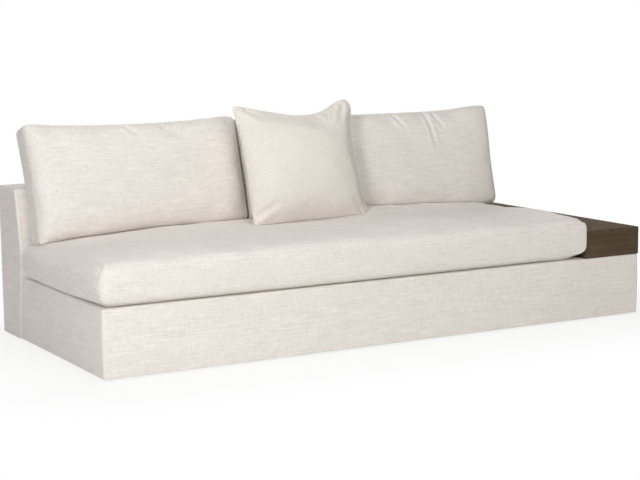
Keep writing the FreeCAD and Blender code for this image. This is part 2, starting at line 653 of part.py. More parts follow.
def lens(half_chord, half_seam, along_u):
    """Corners of a lens section with blunt tips, its chord along the first or the second sketch axis."""
    tips = ((half_chord, half_seam), (f"(-{half_chord})", half_seam),
            (f"(-{half_chord})", f"(-{half_seam})"), (half_chord, f"(-{half_seam})"))
    bulges = (PILLOW_BULGE, None, PILLOW_BULGE, None)
    if along_u:
        return [(chord, seam, bulge) for (chord, seam), bulge in zip(tips, bulges)]
    turned_tips = [(f"(-{seam})", chord) for chord, seam in tips]
    return [(u, v, bulge) for (u, v), bulge in zip(turned_tips, bulges)]


def pillow_form(label, inset):
    """Pillow form, some way inside its outer surface."""
    half_width = f"(dims.pillow_width / 2 - {inset})"
    half_height = f"(dims.pillow_height / 2 - {inset})"
    half_seam = f"(dims.pillow_seam / 2 - {inset})"
    half_depth = "(dims.pillow_thickness / 2)"
    square = [(u, v, PILLOW_WAY_IN) for u, v, _ in rectangle(
        (f"(-{half_width})", half_width), (f"(-{half_height})", half_height))]
    forms = [
        prism(f"{label}_upright", lens(half_height, half_seam, False), f"(-{half_width})", half_width),
        prism(f"{label}_across", lens(half_width, half_seam, True), f"(-{half_height})", half_height,
              "XY_Plane"),
        prism(f"{label}_square", square, f"(-{half_depth})", half_depth, "XZ_Plane"),
    ]
    for form in forms:
        form.Placement = PILLOW_PLACEMENT
    shared = doc.addObject("Part::MultiCommon", label)
    shared.Shapes = forms
    return shared


def pillow_seat():
    """Centre of the pillow: its lower corners on the seat, its rear on the back cushion's front."""
    lean, back_lean = (math.radians(value(f"dims.{name}")) for name in ("pillow_lean", "back_lean"))
    gap, half = value("dims.rest_clearance"), value("dims.pillow_height / 2")
    bulge, thick = value(PILLOW_BULGE), value("dims.pillow_thickness / 2")
    arc = half ** 2 / (2 * bulge) + bulge / 2
    foot_y = value(lean_face(BACK_FOOT_FRONT, "dims.back_thickness"))
    foot_z = value(BACK_FOOT_FRONT)
    plane = foot_y * math.cos(back_lean) - foot_z * math.sin(back_lean) - value("dims.back_front_crown")
    reach = plane - gap - arc - (thick - arc) * math.cos(lean - back_lean)
    edge = value("dims.pillow_seam / 2")
    y = foot_y
    for _ in range(SEATING_STEPS):
        contact = y - half * math.sin(lean) + edge * math.cos(lean)
        z = value(seat_top(contact)) + gap + half * math.cos(lean) + edge * math.sin(lean)
        y = (reach + z * math.sin(back_lean)) / math.cos(back_lean)
    return FreeCAD.Vector(value(f"{BASE_LEFT} + dims.pillow_place"), y, z)


PILLOW_PLACEMENT = FreeCAD.Placement(
    pillow_seat(), FreeCAD.Rotation(FreeCAD.Vector(-1, 0, 0), value("dims.pillow_lean")))
pillow_cover = doc.addObject("Part::Cut", "pillow_cover")
pillow_cover.Base = pillow_form("pillow_outside", "0")
pillow_cover.Tool = pillow_form("pillow_inside", "dims.cushion_cover")
keep(pillow_cover)
keep(pillow_form("pillow_filling", FILL_INSET))

# Build, test and write
doc.recompute()
for item in doc.Objects:
    if "Invalid" in item.State or "Error" in item.State:
        raise RuntimeError(f"{item.Label} failed: {item.State}")
for node in nodes:
    if node.Shape.isNull() or not node.Shape.isValid():
        raise RuntimeError(f"{node.Label} has no valid shape")
os.makedirs("parts", exist_ok=True)
for node in nodes:
    node.Shape.exportStep(f"parts/{node.Label}.step")
print(f"{len(nodes)} pieces written")
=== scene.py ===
"""Dress the sofa: slubby woven upholstery, loose cushions, a nubby throw pillow and a dark wood ledge.

Everything is in metres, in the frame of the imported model: +X runs towards the ledge, -Y is the front.
"""
import json
import logging
import math
from dataclasses import dataclass, field
from enum import Enum
from functools import lru_cache
from typing import Sequence, Union

import bpy
import numpy as np
from mathutils import Matrix, Vector
from mathutils.bvhtree import BVHTree


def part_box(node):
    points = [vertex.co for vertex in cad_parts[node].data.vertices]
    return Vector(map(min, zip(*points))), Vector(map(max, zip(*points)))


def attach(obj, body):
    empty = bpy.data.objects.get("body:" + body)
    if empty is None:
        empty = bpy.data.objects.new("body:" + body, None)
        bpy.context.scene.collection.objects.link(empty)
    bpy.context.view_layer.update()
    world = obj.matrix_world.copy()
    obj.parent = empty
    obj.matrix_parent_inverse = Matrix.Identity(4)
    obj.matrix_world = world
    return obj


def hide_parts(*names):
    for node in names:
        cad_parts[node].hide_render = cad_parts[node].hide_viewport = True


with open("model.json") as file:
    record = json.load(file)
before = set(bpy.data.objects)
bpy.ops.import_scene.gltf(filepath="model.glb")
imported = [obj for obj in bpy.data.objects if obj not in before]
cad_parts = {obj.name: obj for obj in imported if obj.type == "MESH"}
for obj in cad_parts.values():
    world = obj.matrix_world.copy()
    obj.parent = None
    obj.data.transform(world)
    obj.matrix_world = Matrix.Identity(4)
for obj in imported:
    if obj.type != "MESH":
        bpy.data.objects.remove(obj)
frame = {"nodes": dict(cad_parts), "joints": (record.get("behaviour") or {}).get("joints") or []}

LOG = logging.getLogger("sofa")
PHOTO_WIDTH = 640
SENSOR_WIDTH = 36.0
UP = Vector((0, 0, 1))
FORWARD = Vector((0, -1, 0))
SHARP = math.radians(50)
TINY = 1e-9
NEAR = 0.0005
CONTACT = 0.001
SEAM_LINE = 3
HIDDEN_RIM = 0.002
REACH = 2.0
Colour = tuple[float, float, float]
Point = tuple[float, float, float]
Number = Union[float, "Value"]


class Value:
    """Number that a shader node gives. Arithmetic on it adds Math nodes."""

    def __init__(self, tree: "Nodes", socket: bpy.types.NodeSocket) -> None:
        """Wrap a socket of a tree."""
        self.tree = tree
        self.socket = socket

    def _math(self, operation: str, *operands: Number) -> "Value":
        """Add a Math node with operands and give its result."""
        node = self.tree.node("ShaderNodeMath", dict(enumerate(operands)), {"operation": operation})
        return Value(self.tree, node.outputs[0])

    def __add__(self, other: Number) -> "Value":
        """Sum."""
        return self._math("ADD", self, other)

    __radd__ = __add__

    def __sub__(self, other: Number) -> "Value":
        """Difference."""
        return self._math("SUBTRACT", self, other)

    def __rsub__(self, other: Number) -> "Value":
        """Difference, the other way round."""
        return self._math("SUBTRACT", other, self)

    def __mul__(self, other: Number) -> "Value":
        """Product."""
        return self._math("MULTIPLY", self, other)

    def __abs__(self) -> "Value":
        """Size without its sign."""
        return self._math("ABSOLUTE", self)

    def __pow__(self, power: float) -> "Value":
        """Power."""
        return self._math("POWER", self, power)

    def at_least(self, low: Number) -> "Value":
        """The number, or a lowest value."""
        return self._math("MAXIMUM", self, low)

    def step(self, low: float, high: float) -> "Value":
        """Smooth rise from 0 at low to 1 at high."""
        inputs = {"Value": self, "From Min": low, "From Max": high}
        node = self.tree.node("ShaderNodeMapRange", inputs, {"interpolation_type": "SMOOTHSTEP"})
        return Value(self.tree, node.outputs["Result"])


class Nodes:
    """Node tree under construction."""

    def __init__(self, tree: bpy.types.NodeTree) -> None:
        """Take a tree and empty it."""
        self.tree = tree
        tree.nodes.clear()

    def node(self, kind: str, inputs: dict | None = None, settings: dict | None = None) -> bpy.types.Node:
        """Add a node.

        Args:
            kind: The node's type.
            inputs: Plain values, sockets or Value objects for its inputs, by name or index.
            settings: Its properties, set before its inputs.

        Returns:
            The node.
        """
        made = self.tree.nodes.new(kind)
        for key, setting in (settings or {}).items():
            setattr(made, key, setting)
        for key, given in (inputs or {}).items():
            source = given.socket if isinstance(given, Value) else given
            if isinstance(source, bpy.types.NodeSocket):
                self.tree.links.new(source, made.inputs[key])
            else:
                made.inputs[key].default_value = source
        return made

    def seen(self) -> Value:
        """1 for what the camera sees, straight or in a reflection, and 0 for light on other things."""
        light = self.node("ShaderNodeLightPath")
        seen = Value(self, light.outputs["Is Camera Ray"])
        for kind in ("Is Glossy Ray", "Is Transmission Ray"):
            seen = seen.at_least(Value(self, light.outputs[kind]))
        return seen


class ShaderTree(Nodes):
    """Material under construction."""

    def __init__(self, name: str) -> None:
        """Start an empty material."""
        self.material = bpy.data.materials.new(name)
        self.material.use_nodes = True
        super().__init__(self.material.node_tree)
        self._places: bpy.types.NodeSocket | None = None

    def places(self) -> bpy.types.NodeSocket:
        """Object coordinates, in metres."""
        if self._places is None:
            self._places = self.node("ShaderNodeTexCoord").outputs["Object"]
        return self._places

    def along(self, vector: bpy.types.NodeSocket, axis: str) -> Value:
        """Part of a vector along an axis."""
        return Value(self, self.node("ShaderNodeSeparateXYZ", {"Vector": vector}).outputs[axis])

    def noise(self, per_metre: Point, detail: float = 2.0, shift: float = 0.0) -> Value:
        """Noise that is finer or coarser along each axis.

        Args:
            per_metre: How many patches fit in a metre along X, Y and Z.
            detail: Octaves.
            shift: Offset that makes one noise unlike another.

        Returns:
            A number about 0.5.
        """
        inputs = {"Vector": self.places(), "Scale": per_metre, "Location": (shift, shift, shift)}
        mapped = self.node("ShaderNodeMapping", inputs).outputs["Vector"]
        inputs = {"Vector": mapped, "Scale": 1.0, "Detail": detail, "Roughness": 0.55}
        return Value(self, self.node("ShaderNodeTexNoise", inputs).outputs[0])

    def cells(self, per_metre: Point, smoothness: float) -> Value:
        """Distance to the nearest of scattered points, as in a bed of small lumps."""
        mapped = self.node("ShaderNodeMapping", {"Vector": self.places(), "Scale": per_metre})
        inputs = {"Vector": mapped.outputs["Vector"], "Scale": 1.0, "Smoothness": smoothness}
        lumps = self.node("ShaderNodeTexVoronoi", inputs, {"feature": "SMOOTH_F1"})
        return Value(self, lumps.outputs["Distance"])

    def blend(self, factor: Number, first: Colour, second: Colour) -> bpy.types.NodeSocket:
        """Colour between two, by a factor."""
        inputs = {0: factor, 6: (*first, 1.0), 7: (*second, 1.0)}
        return self.node("ShaderNodeMix", inputs, {"data_type": "RGBA"}).outputs[2]

    def relief(self, height: Value, depth: float, strength: float = 1.0) -> bpy.types.NodeSocket:
        """Normal of a surface with small relief of a depth in metres."""
        inputs = {"Height": height, "Distance": depth, "Strength": strength}
        return self.node("ShaderNodeBump", inputs).outputs["Normal"]

    def surface(self, **sockets: object) -> bpy.types.Material:
        """Close the material with a principled surface.

        Args:
            sockets: Inputs of the shader, named with underscores for spaces.

        Returns:
            The finished material.
        """
        inputs = {key.replace("_", " ").title().replace("Ior", "IOR"): given
                  for key, given in sockets.items()}
        return self.close(self.node("ShaderNodeBsdfPrincipled", inputs).outputs[0])

    def close(self, shader: bpy.types.NodeSocket) -> bpy.types.Material:
        """Send a shader to the material's output."""
        self.node("ShaderNodeOutputMaterial", {"Surface": shader})
        return self.material


class Along(Enum):
    """Axis that a wood grain follows."""

    WIDTH = 0
    DEPTH = 1
    HEIGHT = 2


@dataclass(frozen=True)
class Finish:
    """Surface drawn between a pale and a deep tone."""

    name: str
    pale: Colour
    deep: Colour

    @lru_cache(maxsize=None)
    def material(self) -> bpy.types.Material:
        """Material of the finish, made once."""
        return self.draw(ShaderTree(self.name))

    def draw(self, tree: ShaderTree) -> bpy.types.Material:
        """Draw the surface in an empty material."""
        raise NotImplementedError

    def tone(self, tree: ShaderTree, shade: Number) -> bpy.types.NodeSocket:
        """Colour of the finish at a shade, from 0 for deep to 1 for pale."""
        return tree.blend(shade, self.deep, self.pale)


@dataclass(frozen=True)
class WovenFabric(Finish):
    """Plain weave with thick and thin yarns, whose slubs show as short level streaks."""

    slub_length: float = 0.10
    slub_width: float = 0.0045
    yarn: float = 0.0022
    relief: float = 0.0012
    sheen: float = 0.12

    def draw(self, tree: ShaderTree) -> bpy.types.Material:
        """Draw the fabric."""
        long, thin, yarn = 1 / self.slub_length, 1 / self.slub_width, 1 / self.yarn
        short = 4 * long
        normal = tree.node("ShaderNodeTexCoord").outputs["Normal"]
        ends = abs(tree.along(normal, "X")).step(0.6, 0.85)
        sides = 1 - ends
        weft = (tree.noise((long, thin, thin), shift=3.0) * sides
                + tree.noise((thin, long, thin), shift=7.0) * ends)
        fine = (tree.noise((short, yarn, yarn), shift=37.0) * sides
                + tree.noise((yarn, short, yarn), shift=41.0) * ends)
        warp = (tree.noise((thin, short, short), shift=11.0) * sides
                + tree.noise((thin, thin, short), shift=17.0) * ends)
        grid = tree.noise((yarn, yarn, yarn), 1.0, 23.0)
        cloud = tree.noise((4.0, 4.0, 4.0), 2.0, 31.0)
        slub = weft.step(0.54, 0.70) - (1 - weft).step(0.54, 0.70)
        shade = (0.5 + slub * 0.34 + (fine - 0.5) * 0.9 + (warp - 0.5) * 0.9
                 + (grid - 0.5) * 0.5 + (cloud - 0.5) * 0.3)
        colour = self.tone(tree, shade)
        height = weft * 0.4 + fine * 0.35 + warp * 0.25 + grid * 0.3
        return tree.surface(base_color=colour, roughness=0.92, normal=tree.relief(height, self.relief),
                            sheen_weight=self.sheen, sheen_roughness=0.6, specular_IOR_level=0.2)


@dataclass(frozen=True)
class Boucle(Finish):
    """Looped yarn: a bed of small soft lumps that run a little upright."""

    loop: float = 0.0060
    relief: float = 0.0034
    sheen: float = 0.2

    def draw(self, tree: ShaderTree) -> bpy.types.Material:
        """Draw the fabric, with painted shade in the hollows between its loops."""
        loops = 1 / self.loop
        lumps = tree.cells((loops, loops, loops * 0.7), 0.4)
        fuzz = tree.noise((loops * 3, loops * 3, loops * 3), 2.0, 5.0)
        drift = tree.noise((9.0, 9.0, 9.0), 2.0, 13.0)
        height = (1 - lumps) * 0.8 + fuzz * 0.35
        # Colour follows the loops' height: painted shade in the hollows between loops, plus a slow random
        # drift of tone.
        colour = self.tone(tree, (height * 0.8 + drift * 0.35).step(0.35, 1.05))
        return tree.surface(base_color=colour, roughness=0.95, normal=tree.relief(height, self.relief),
                            sheen_weight=self.sheen, sheen_roughness=0.7, specular_IOR_level=0.15)


@dataclass(frozen=True)
class Wood(Finish):
    """Straight-grained wood with fine pores."""

    along: Along
    roughness: float
    figure: float = 45.0

    def draw(self, tree: ShaderTree) -> bpy.types.Material:
        """Draw the wood."""

        def grain(across: float, along: float) -> Point:
            """Noise frequencies that are drawn out along the grain."""
            rates = [across, across, across]
            rates[self.along.value] = along
            return tuple(rates)

        bands = tree.noise(grain(self.figure, 1.6), 3.0, 2.0)
        pores = tree.noise(grain(900.0, 14.0), 2.0, 5.0)
        cloud = tree.noise((5.0, 5.0, 5.0), 2.0, 9.0)
        mask = pores.step(0.55, 0.72)
        shade = (bands * 0.8 + cloud * 0.3 - mask * 0.25).step(0.25, 0.85)
        colour = self.tone(tree, shade)
        rough = self.roughness + mask * 0.15
        height = bands * 0.3 - mask * 0.6
        return tree.surface(base_color=colour, roughness=rough, normal=tree.relief(height, 0.0004, 0.6),
                            specular_IOR_level=0.02)


@dataclass(frozen=True)
class Webbing(Finish):
    """Elastic strap with fine ribs across it."""

    pitch: float = 0.003

    def draw(self, tree: ShaderTree) -> bpy.types.Material:
        """Draw the strap's weave."""
        ribs = 1 / self.pitch
        weave = (tree.noise((ribs, ribs * 0.2, ribs), 1.0, 4.0)
                 + tree.noise((ribs * 0.2, ribs, ribs), 1.0, 8.0))
        colour = self.tone(tree, weave.step(0.7, 1.3))
        return tree.surface(base_color=colour, roughness=0.85, normal=tree.relief(weave, 0.0008))


@dataclass(frozen=True)
class Speckled(Finish):
    """Moulded, felted or plated surface with a fine even speckle."""

    grain: float
    roughness: float
    metallic: float = 0.0
    relief: float = 0.0002

    def draw(self, tree: ShaderTree) -> bpy.types.Material:
        """Draw the surface."""
        rate = 1 / self.grain
        speckle = tree.noise((rate, rate, rate), 3.0, 6.0)
        colour = self.tone(tree, speckle.step(0.3, 0.7))
        return tree.surface(base_color=colour, roughness=self.roughness + (speckle - 0.5) * 0.2,
                            metallic=self.metallic, normal=tree.relief(speckle, self.relief))


UPHOLSTERY = WovenFabric("woven_upholstery", (0.845, 0.795, 0.75), (0.655, 0.61, 0.56))
DECKING = WovenFabric("cotton_decking", (0.74, 0.70, 0.64), (0.62, 0.58, 0.52),
                      slub_width=0.002, relief=0.0004)
PILLOW_CLOTH = Boucle("pillow_boucle", (0.835, 0.785, 0.725), (0.765, 0.71, 0.65))
OAK = ((0.117, 0.083, 0.054), (0.071, 0.049, 0.032))
LEDGE_LENGTHWISE = Wood("ledge_oak_lengthwise", *OAK, Along.DEPTH, 0.7)
LEDGE_CROSSWISE = Wood("ledge_oak_crosswise", *OAK, Along.WIDTH, 0.7)
BARE = ((0.62, 0.46, 0.29), (0.45, 0.31, 0.18))
FRAME_LENGTHWISE = Wood("frame_wood_lengthwise", *BARE, Along.WIDTH, 0.65)
FRAME_CROSSWISE = Wood("frame_wood_crosswise", *BARE, Along.DEPTH, 0.65)
FRAME_UPRIGHT = Wood("frame_wood_upright", *BARE, Along.HEIGHT, 0.65)
STRAP = Webbing("elastic_webbing", (0.17, 0.15, 0.12), (0.08, 0.07, 0.06))
LINING = Speckled("black_lining", (0.05, 0.05, 0.052), (0.022, 0.022, 0.024), 0.0015, 0.9)
GLIDE_PLASTIC = Speckled("glide_plastic", (0.06, 0.058, 0.055), (0.035, 0.034, 0.033), 0.0012, 0.55)
ZINC = Speckled("zinc_steel", (0.66, 0.65, 0.62), (0.52, 0.51, 0.48), 0.0008, 0.35, metallic=1.0)


def add_object(name: str, data: bpy.types.ID) -> bpy.types.Object:
    """Put data into the scene as an object at the origin."""
    made = bpy.data.objects.new(name, data)
    bpy.context.scene.collection.objects.link(made)
    return made


@dataclass
class Shell:
    """Points and faces of a piece."""

    points: np.ndarray
    faces: list[tuple[int, ...]]

    def to_object(self, name: str) -> bpy.types.Object:
        """Make a smooth object at the origin.

        Args:
            name: The piece's name.

        Returns:
            The object, linked to the scene.
        """
        mesh = bpy.data.meshes.new(name)
        mesh.from_pydata(self.points.tolist(), [], self.faces)
        mesh.validate()
        mesh.shade_smooth()
        mesh.set_sharp_from_angle(angle=SHARP)
        return add_object(name, mesh)


def per_vertex(piece: bpy.types.Object, name: str) -> np.ndarray:
    """A vector that an object has for each vertex."""
    flat = np.empty(len(piece.data.vertices) * 3, np.float32)
    piece.data.vertices.foreach_get(name, flat)
    return flat.reshape(-1, 3).astype(float)


def positions(piece: bpy.types.Object) -> np.ndarray:
    """Places of an object's vertices."""
    return per_vertex(piece, "co")


def normals(piece: bpy.types.Object) -> np.ndarray:
    """Directions that an object's vertices face."""
    return per_vertex(piece, "normal")


def set_positions(piece: bpy.types.Object, points: np.ndarray) -> None:
    """Move an object's vertices."""
    piece.data.vertices.foreach_set("co", points.astype(np.float32).ravel())
    piece.data.update()


def paint(piece: bpy.types.Object, finish: Finish) -> None:
    """Make a finish the only material of a piece."""
    piece.data.materials.clear()
    piece.data.materials.append(finish.material())
    LOG.info("%s: %s, %d faces", piece.name, finish.name, len(piece.data.polygons))


def finish_piece(piece: bpy.types.Object, finish: Finish, body: str, slot: str, *stands_for: str) -> None:
    """Dress a piece and tie it to its body.

    Args:
        piece: The object.
        finish: Its finish.
        body: The body that it rides on.
        slot: The record's material slot; not used.
        stands_for: CAD nodes that it replaces.
    """
    paint(piece, finish)
    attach(piece, body)
    if stands_for:
        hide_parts(*stands_for)


def ticks(half: float, radius: float, step: float) -> np.ndarray:
    """Places along an axis from -half to half, closer together towards the ends."""
    count = max(4, math.ceil(1.3 * radius / step))
    edge = half - radius + radius * np.sin(np.linspace(0, math.pi / 2, count + 1))
    middle = np.linspace(radius - half, half - radius, max(2, round(2 * (half - radius) / step)) + 1)
    return np.concatenate([-edge[:0:-1], middle, edge[1:]])


def smooth(share: np.ndarray) -> np.ndarray:
    """Smooth rise from 0 to 1."""
    share = np.clip(share, 0, 1)
    return share * share * (3 - 2 * share)


def welded_lattice(counts: Sequence[int]) -> tuple[np.ndarray, list[tuple[int, ...]]]:
    """Skin of a block of lattice points.

    Args:
        counts: Lattice points along each axis.

    Returns:
        The skin's lattice points and its outward faces.
    """
    sides = []
    for axis, (first, second) in enumerate(((1, 2), (2, 0), (0, 1))):
        rows, columns = np.mgrid[0:counts[first] - 1, 0:counts[second] - 1]
        for level in (0, counts[axis] - 1):
            corners = []
            for down, across in ((0, 0), (1, 0), (1, 1), (0, 1)):
                corner = np.empty(rows.shape + (3,), int)
                corner[..., axis] = level
                corner[..., first] = rows + down
                corner[..., second] = columns + across
                corners.append(corner.reshape(-1, 3))
            side = np.stack(corners, axis=1)
            sides.append(side if level else side[:, ::-1])
    quads = np.concatenate(sides)
    keys = (quads[..., 0] * counts[1] + quads[..., 1]) * counts[2] + quads[..., 2]
    unique, index = np.unique(keys, return_inverse=True)
    layer = counts[1] * counts[2]
    lattice = np.stack([unique // layer, unique // counts[2] % counts[1], unique % counts[2]], axis=1)
    return lattice, [tuple(quad) for quad in index.reshape(-1, 4).tolist()]


@dataclass
class Block:
    """Gridded block about the origin, whose edges are rounded a pair of sides at a time.

    Attributes:
        half: Half its size along each axis.
        dense: Width of the closer grid at its ends, along each axis.
        step: Widest gap between grid lines.
    """

    half: np.ndarray
    dense: Point
    step: float

    def __post_init__(self) -> None:
        """Lay out the block's grid."""
        lines = [ticks(size, dense, self.step) for size, dense in zip(self.half, self.dense)]
        self.lattice, self.faces = welded_lattice([len(line) for line in lines])
        self.last = self.lattice.max(axis=0)
        self.points = np.stack([line[self.lattice[:, axis]] for axis, line in enumerate(lines)], axis=1)
        self.share = self.points / self.half

    def round(self, axes: tuple[int, int], radii: Sequence[np.ndarray | float], power: float = 2.0) -> None:
        """Round the edges between two pairs of sides.

        Args:
            axes: The axes that those sides are square to.
            radii: Rounding along each of them, which may differ from point to point.
            power: 2 for an elliptic round, more for a squarer one.
        """
        index = list(axes)
        radius = np.stack([np.broadcast_to(size, len(self.points)) for size in radii], axis=1)
        flat = self.points[:, index]
        reach = self.half[index] - radius
        inner = np.clip(flat, -reach, reach)
        away = (flat - inner) / radius
        length = (np.abs(away) ** power).sum(axis=1) ** (1 / power)
        scale = np.abs(away).max(axis=1) / np.maximum(length, TINY)
        self.points[:, index] = inner + radius * away * scale[:, None]

    def seam(self, axis: int, far: bool) -> list[int]:
        """Loop of points round the block, a few grid lines from an end.

        Args:
            axis: The axis that the loop is square to.
            far: Whether it is the far end along that axis.

        Returns:
            The loop's points, in order.
        """
        place = self.last[axis] - SEAM_LINE if far else SEAM_LINE
        found = np.flatnonzero(self.lattice[:, axis] == place)
        first, second = (other for other in range(3) if other != axis)
        rim = self.lattice[found][:, [first, second]]
        top = self.last[[first, second]]
        walk = np.where(rim[:, 1] == 0, rim[:, 0], np.where(
            rim[:, 0] == top[0], top[0] + rim[:, 1], np.where(
                rim[:, 1] == top[1], 2 * top[0] + top[1] - rim[:, 0], 2 * top.sum() - rim[:, 1])))
        return found[np.argsort(walk)].tolist()


@dataclass(frozen=True)
class Filling:
    """How a cover swells over its filling, as a cloth simulation.

    Attributes:
        pressure: Pressure inside the cover.
        stiffness: The cloth's resistance to stretch.
        bending: The cloth's resistance to bending.
        frames: Steps of the simulation.
        cap: Furthest that a point may move.
        sewn: How much the seams draw the cloth together.
    """

    pressure: float
    stiffness: float
    bending: float
    frames: int
    cap: float
    sewn: float = 0.0

    def swell(self, piece: bpy.types.Object, seams: Sequence[list[int]] = ()) -> None:
        """Run the simulation and keep its result as the piece's mesh.

        Args:
            piece: The cover.
            seams: Loops of points that are sewn.
        """
        before = positions(piece)
        cloth = piece.modifiers.new("filling", "CLOTH")
        settings = cloth.settings
        settings.quality = 5
        settings.mass = 0.25
        settings.tension_stiffness = self.stiffness
        settings.compression_stiffness = self.stiffness
        settings.shear_stiffness = self.stiffness / 3
        settings.bending_stiffness = self.bending
        settings.air_damping = 2.0
        settings.use_pressure = True
        settings.uniform_pressure_force = self.pressure
        settings.effector_weights.gravity = 0
        cloth.collision_settings.use_collision = False
        cloth.point_cache.frame_start = 1
        cloth.point_cache.frame_end = self.frames
        if seams and self.sewn:
            group = piece.vertex_groups.new(name="seams")
            group.add([point for seam in seams for point in seam], 1.0, "REPLACE")
            settings.vertex_group_shrink = group.name
            settings.shrink_max = self.sewn
        scene = bpy.context.scene
        for number in range(1, self.frames + 1):
            scene.frame_set(number)
        evaluated = piece.evaluated_get(bpy.context.evaluated_depsgraph_get())
        swollen = np.array([vertex.co[:] for vertex in evaluated.data.vertices])
        piece.modifiers.remove(cloth)
        piece.vertex_groups.clear()
        scene.frame_set(1)
        moved = swollen - before
        distance = np.maximum(np.linalg.norm(moved, axis=1, keepdims=True), TINY)
        set_positions(piece, before + moved * np.minimum(1, self.cap / distance))


def refine(piece: bpy.types.Object) -> None:
    """Subdivide a piece once and keep the result."""
    modifier = piece.modifiers.new("refine", "SUBSURF")
    modifier.levels = 1
    modifier.render_levels = 1
    keep_result(piece, modifier)


def keep_result(piece: bpy.types.Object, modifier: bpy.types.Modifier) -> None:
    """Make a modifier's result the piece's own mesh."""
    evaluated = piece.evaluated_get(bpy.context.evaluated_depsgraph_get())
    mesh = bpy.data.meshes.new_from_object(evaluated)
    piece.modifiers.remove(modifier)
    plain = piece.data
    piece.data = mesh
    bpy.data.meshes.remove(plain)
    mesh.name = piece.name
    mesh.shade_smooth()


def skin(*pieces: bpy.types.Object) -> BVHTree:
    """Surface of some pieces, for resting others on it."""
    points: list[list[float]] = []
    faces: list[tuple[int, ...]] = []
    for piece in pieces:
        start = len(points)
        points += positions(piece).tolist()
        faces += [tuple(start + corner for corner in polygon.vertices) for polygon in piece.data.polygons]
    return BVHTree.FromPolygons(points, faces)


def rest_on(points: np.ndarray, support: BVHTree, away: Vector) -> np.ndarray:
    """Press points out of what they rest on.

    Args:
        points: Places of the soft piece.
        support: Surface that it rests on.
        away: Direction from the support to the piece.

    Returns:
        The places, none inside the support.
    """
    pressed = points.copy()
    for index, place in enumerate(points):
        hit = support.ray_cast(Vector(place) + away * REACH, -away)[0]
        if hit is not None:
            short = CONTACT - (Vector(place) - hit).dot(away)
            if short > 0:
                pressed[index] += np.array(away * short)
    return pressed


def sway(points: np.ndarray, waves: Sequence[tuple[Point, float, float]]) -> np.ndarray:
    """Slow unevenness of a surface.

    Args:
        points: Where to read it.
        waves: Each a wave's turns per metre along X, Y and Z, its phase and its height.

    Returns:
        A height for each point.
    """
    turns = [(points @ np.array(rate), phase, height) for rate, phase, height in waves]
    return sum(height * np.sin(2 * math.pi * turn + phase) for turn, phase, height in turns)


UNEVEN = (((1.3, 0.9, 2.1), 0.4, 0.0012), ((2.9, 2.2, 1.4), 1.9, 0.0008), ((5.3, 3.7, 6.1), 3.1, 0.0005))


@dataclass(frozen=True)
class Crease:
    """Pull in a cover: a groove between two low ridges.

    Attributes:
        start: Where it begins, across from the left edge and down from the top.
        end: Where it fades out, measured the same way.
        depth: Depth of the groove.
        width: Half width of the groove.
    """

    start: tuple[float, float]
    end: tuple[float, float]
    depth: float
    width: float

    def height(self, across: np.ndarray, down: np.ndarray) -> np.ndarray:
        """Height of the crease at places on the cover."""
        run = np.array(self.end) - np.array(self.start)
        across, down = across - self.start[0], down - self.start[1]
        share = np.clip((across * run[0] + down * run[1]) / (run @ run), 0, 1)
        distance = np.hypot(across - share * run[0], down - share * run[1]) / self.width
        fade = np.cos(share * math.pi / 2) ** 0.7
        groove = -np.exp(-distance ** 2) + 0.55 * np.exp(-((distance - 1.9) / 0.9) ** 2)
        return self.depth * fade * groove


class GeometryTree(Nodes):
    """Geometry Nodes tree under construction, with named inputs."""

    def __init__(self, name: str) -> None:
        """Start a tree with a geometry going in and out."""
        super().__init__(bpy.data.node_groups.new(name, "GeometryNodeTree"))
        for way in ("INPUT", "OUTPUT"):
            self.tree.interface.new_socket("Geometry", in_out=way, socket_type="NodeSocketGeometry")
        self.start = self.node("NodeGroupInput")
        self.sizes: dict[str, float] = {}

    def size(self, name: str, value: float) -> bpy.types.NodeSocket:
        """Add a named length input with its value, and give its socket."""
        made = self.tree.interface.new_socket(name, in_out="INPUT", socket_type="NodeSocketFloat")
        self.sizes[made.identifier] = value
        return self.start.outputs[name]

    def even_curve(self, spacing: float) -> bpy.types.NodeSocket:
        """Curve along the edges that come in, with evenly spaced points."""
        curve = self.node("GeometryNodeMeshToCurve", {"Mesh": self.start.outputs["Geometry"]})
        inputs = {"Curve": curve.outputs[0], "Length": self.size("Spacing", spacing)}
        return self.node("GeometryNodeResampleCurve", inputs, {"mode": "LENGTH"}).outputs[0]

    def rod(self, curve: bpy.types.NodeSocket, radius: float, sides: int,
            capped: bool) -> bpy.types.NodeSocket:
        """Rod along a curve, with or without end caps."""
        inputs = {"Resolution": sides, "Radius": self.size("Radius", radius)}
        ring = self.node("GeometryNodeCurvePrimitiveCircle", inputs)
        inputs = {"Curve": curve, "Profile Curve": ring.outputs[0], "Fill Caps": capped}
        return self.node("GeometryNodeCurveToMesh", inputs).outputs[0]

    def grow(self, name: str, loops: Sequence[np.ndarray], shape: bpy.types.NodeSocket,
             material: bpy.types.Material) -> bpy.types.Object:
        """Close the tree and grow a piece along loops.

        Args:
            name: The piece's name.
            loops: Points that each loop goes through.
            shape: What the tree makes.
            material: The piece's material.

        Returns:
            The piece, as a plain mesh.
        """
        real = self.node("GeometryNodeRealizeInstances", {"Geometry": shape})
        dressed = self.node("GeometryNodeSetMaterial", {"Geometry": real.outputs[0], "Material": material})
        self.node("NodeGroupOutput", {0: dressed.outputs[0]})
        edges: list[tuple[int, int]] = []
        for loop in loops:
            start, count = len(edges), len(loop)
            edges += [(start + step, start + (step + 1) % count) for step in range(count)]
        mesh = bpy.data.meshes.new(name)
        mesh.from_pydata(np.concatenate(loops).tolist(), edges, [])
        piece = add_object(name, mesh)
        modifier = piece.modifiers.new("grow", "NODES")
        modifier.node_group = self.tree
        for identifier, value in self.sizes.items():
            modifier[identifier] = value
        keep_result(piece, modifier)
        return piece


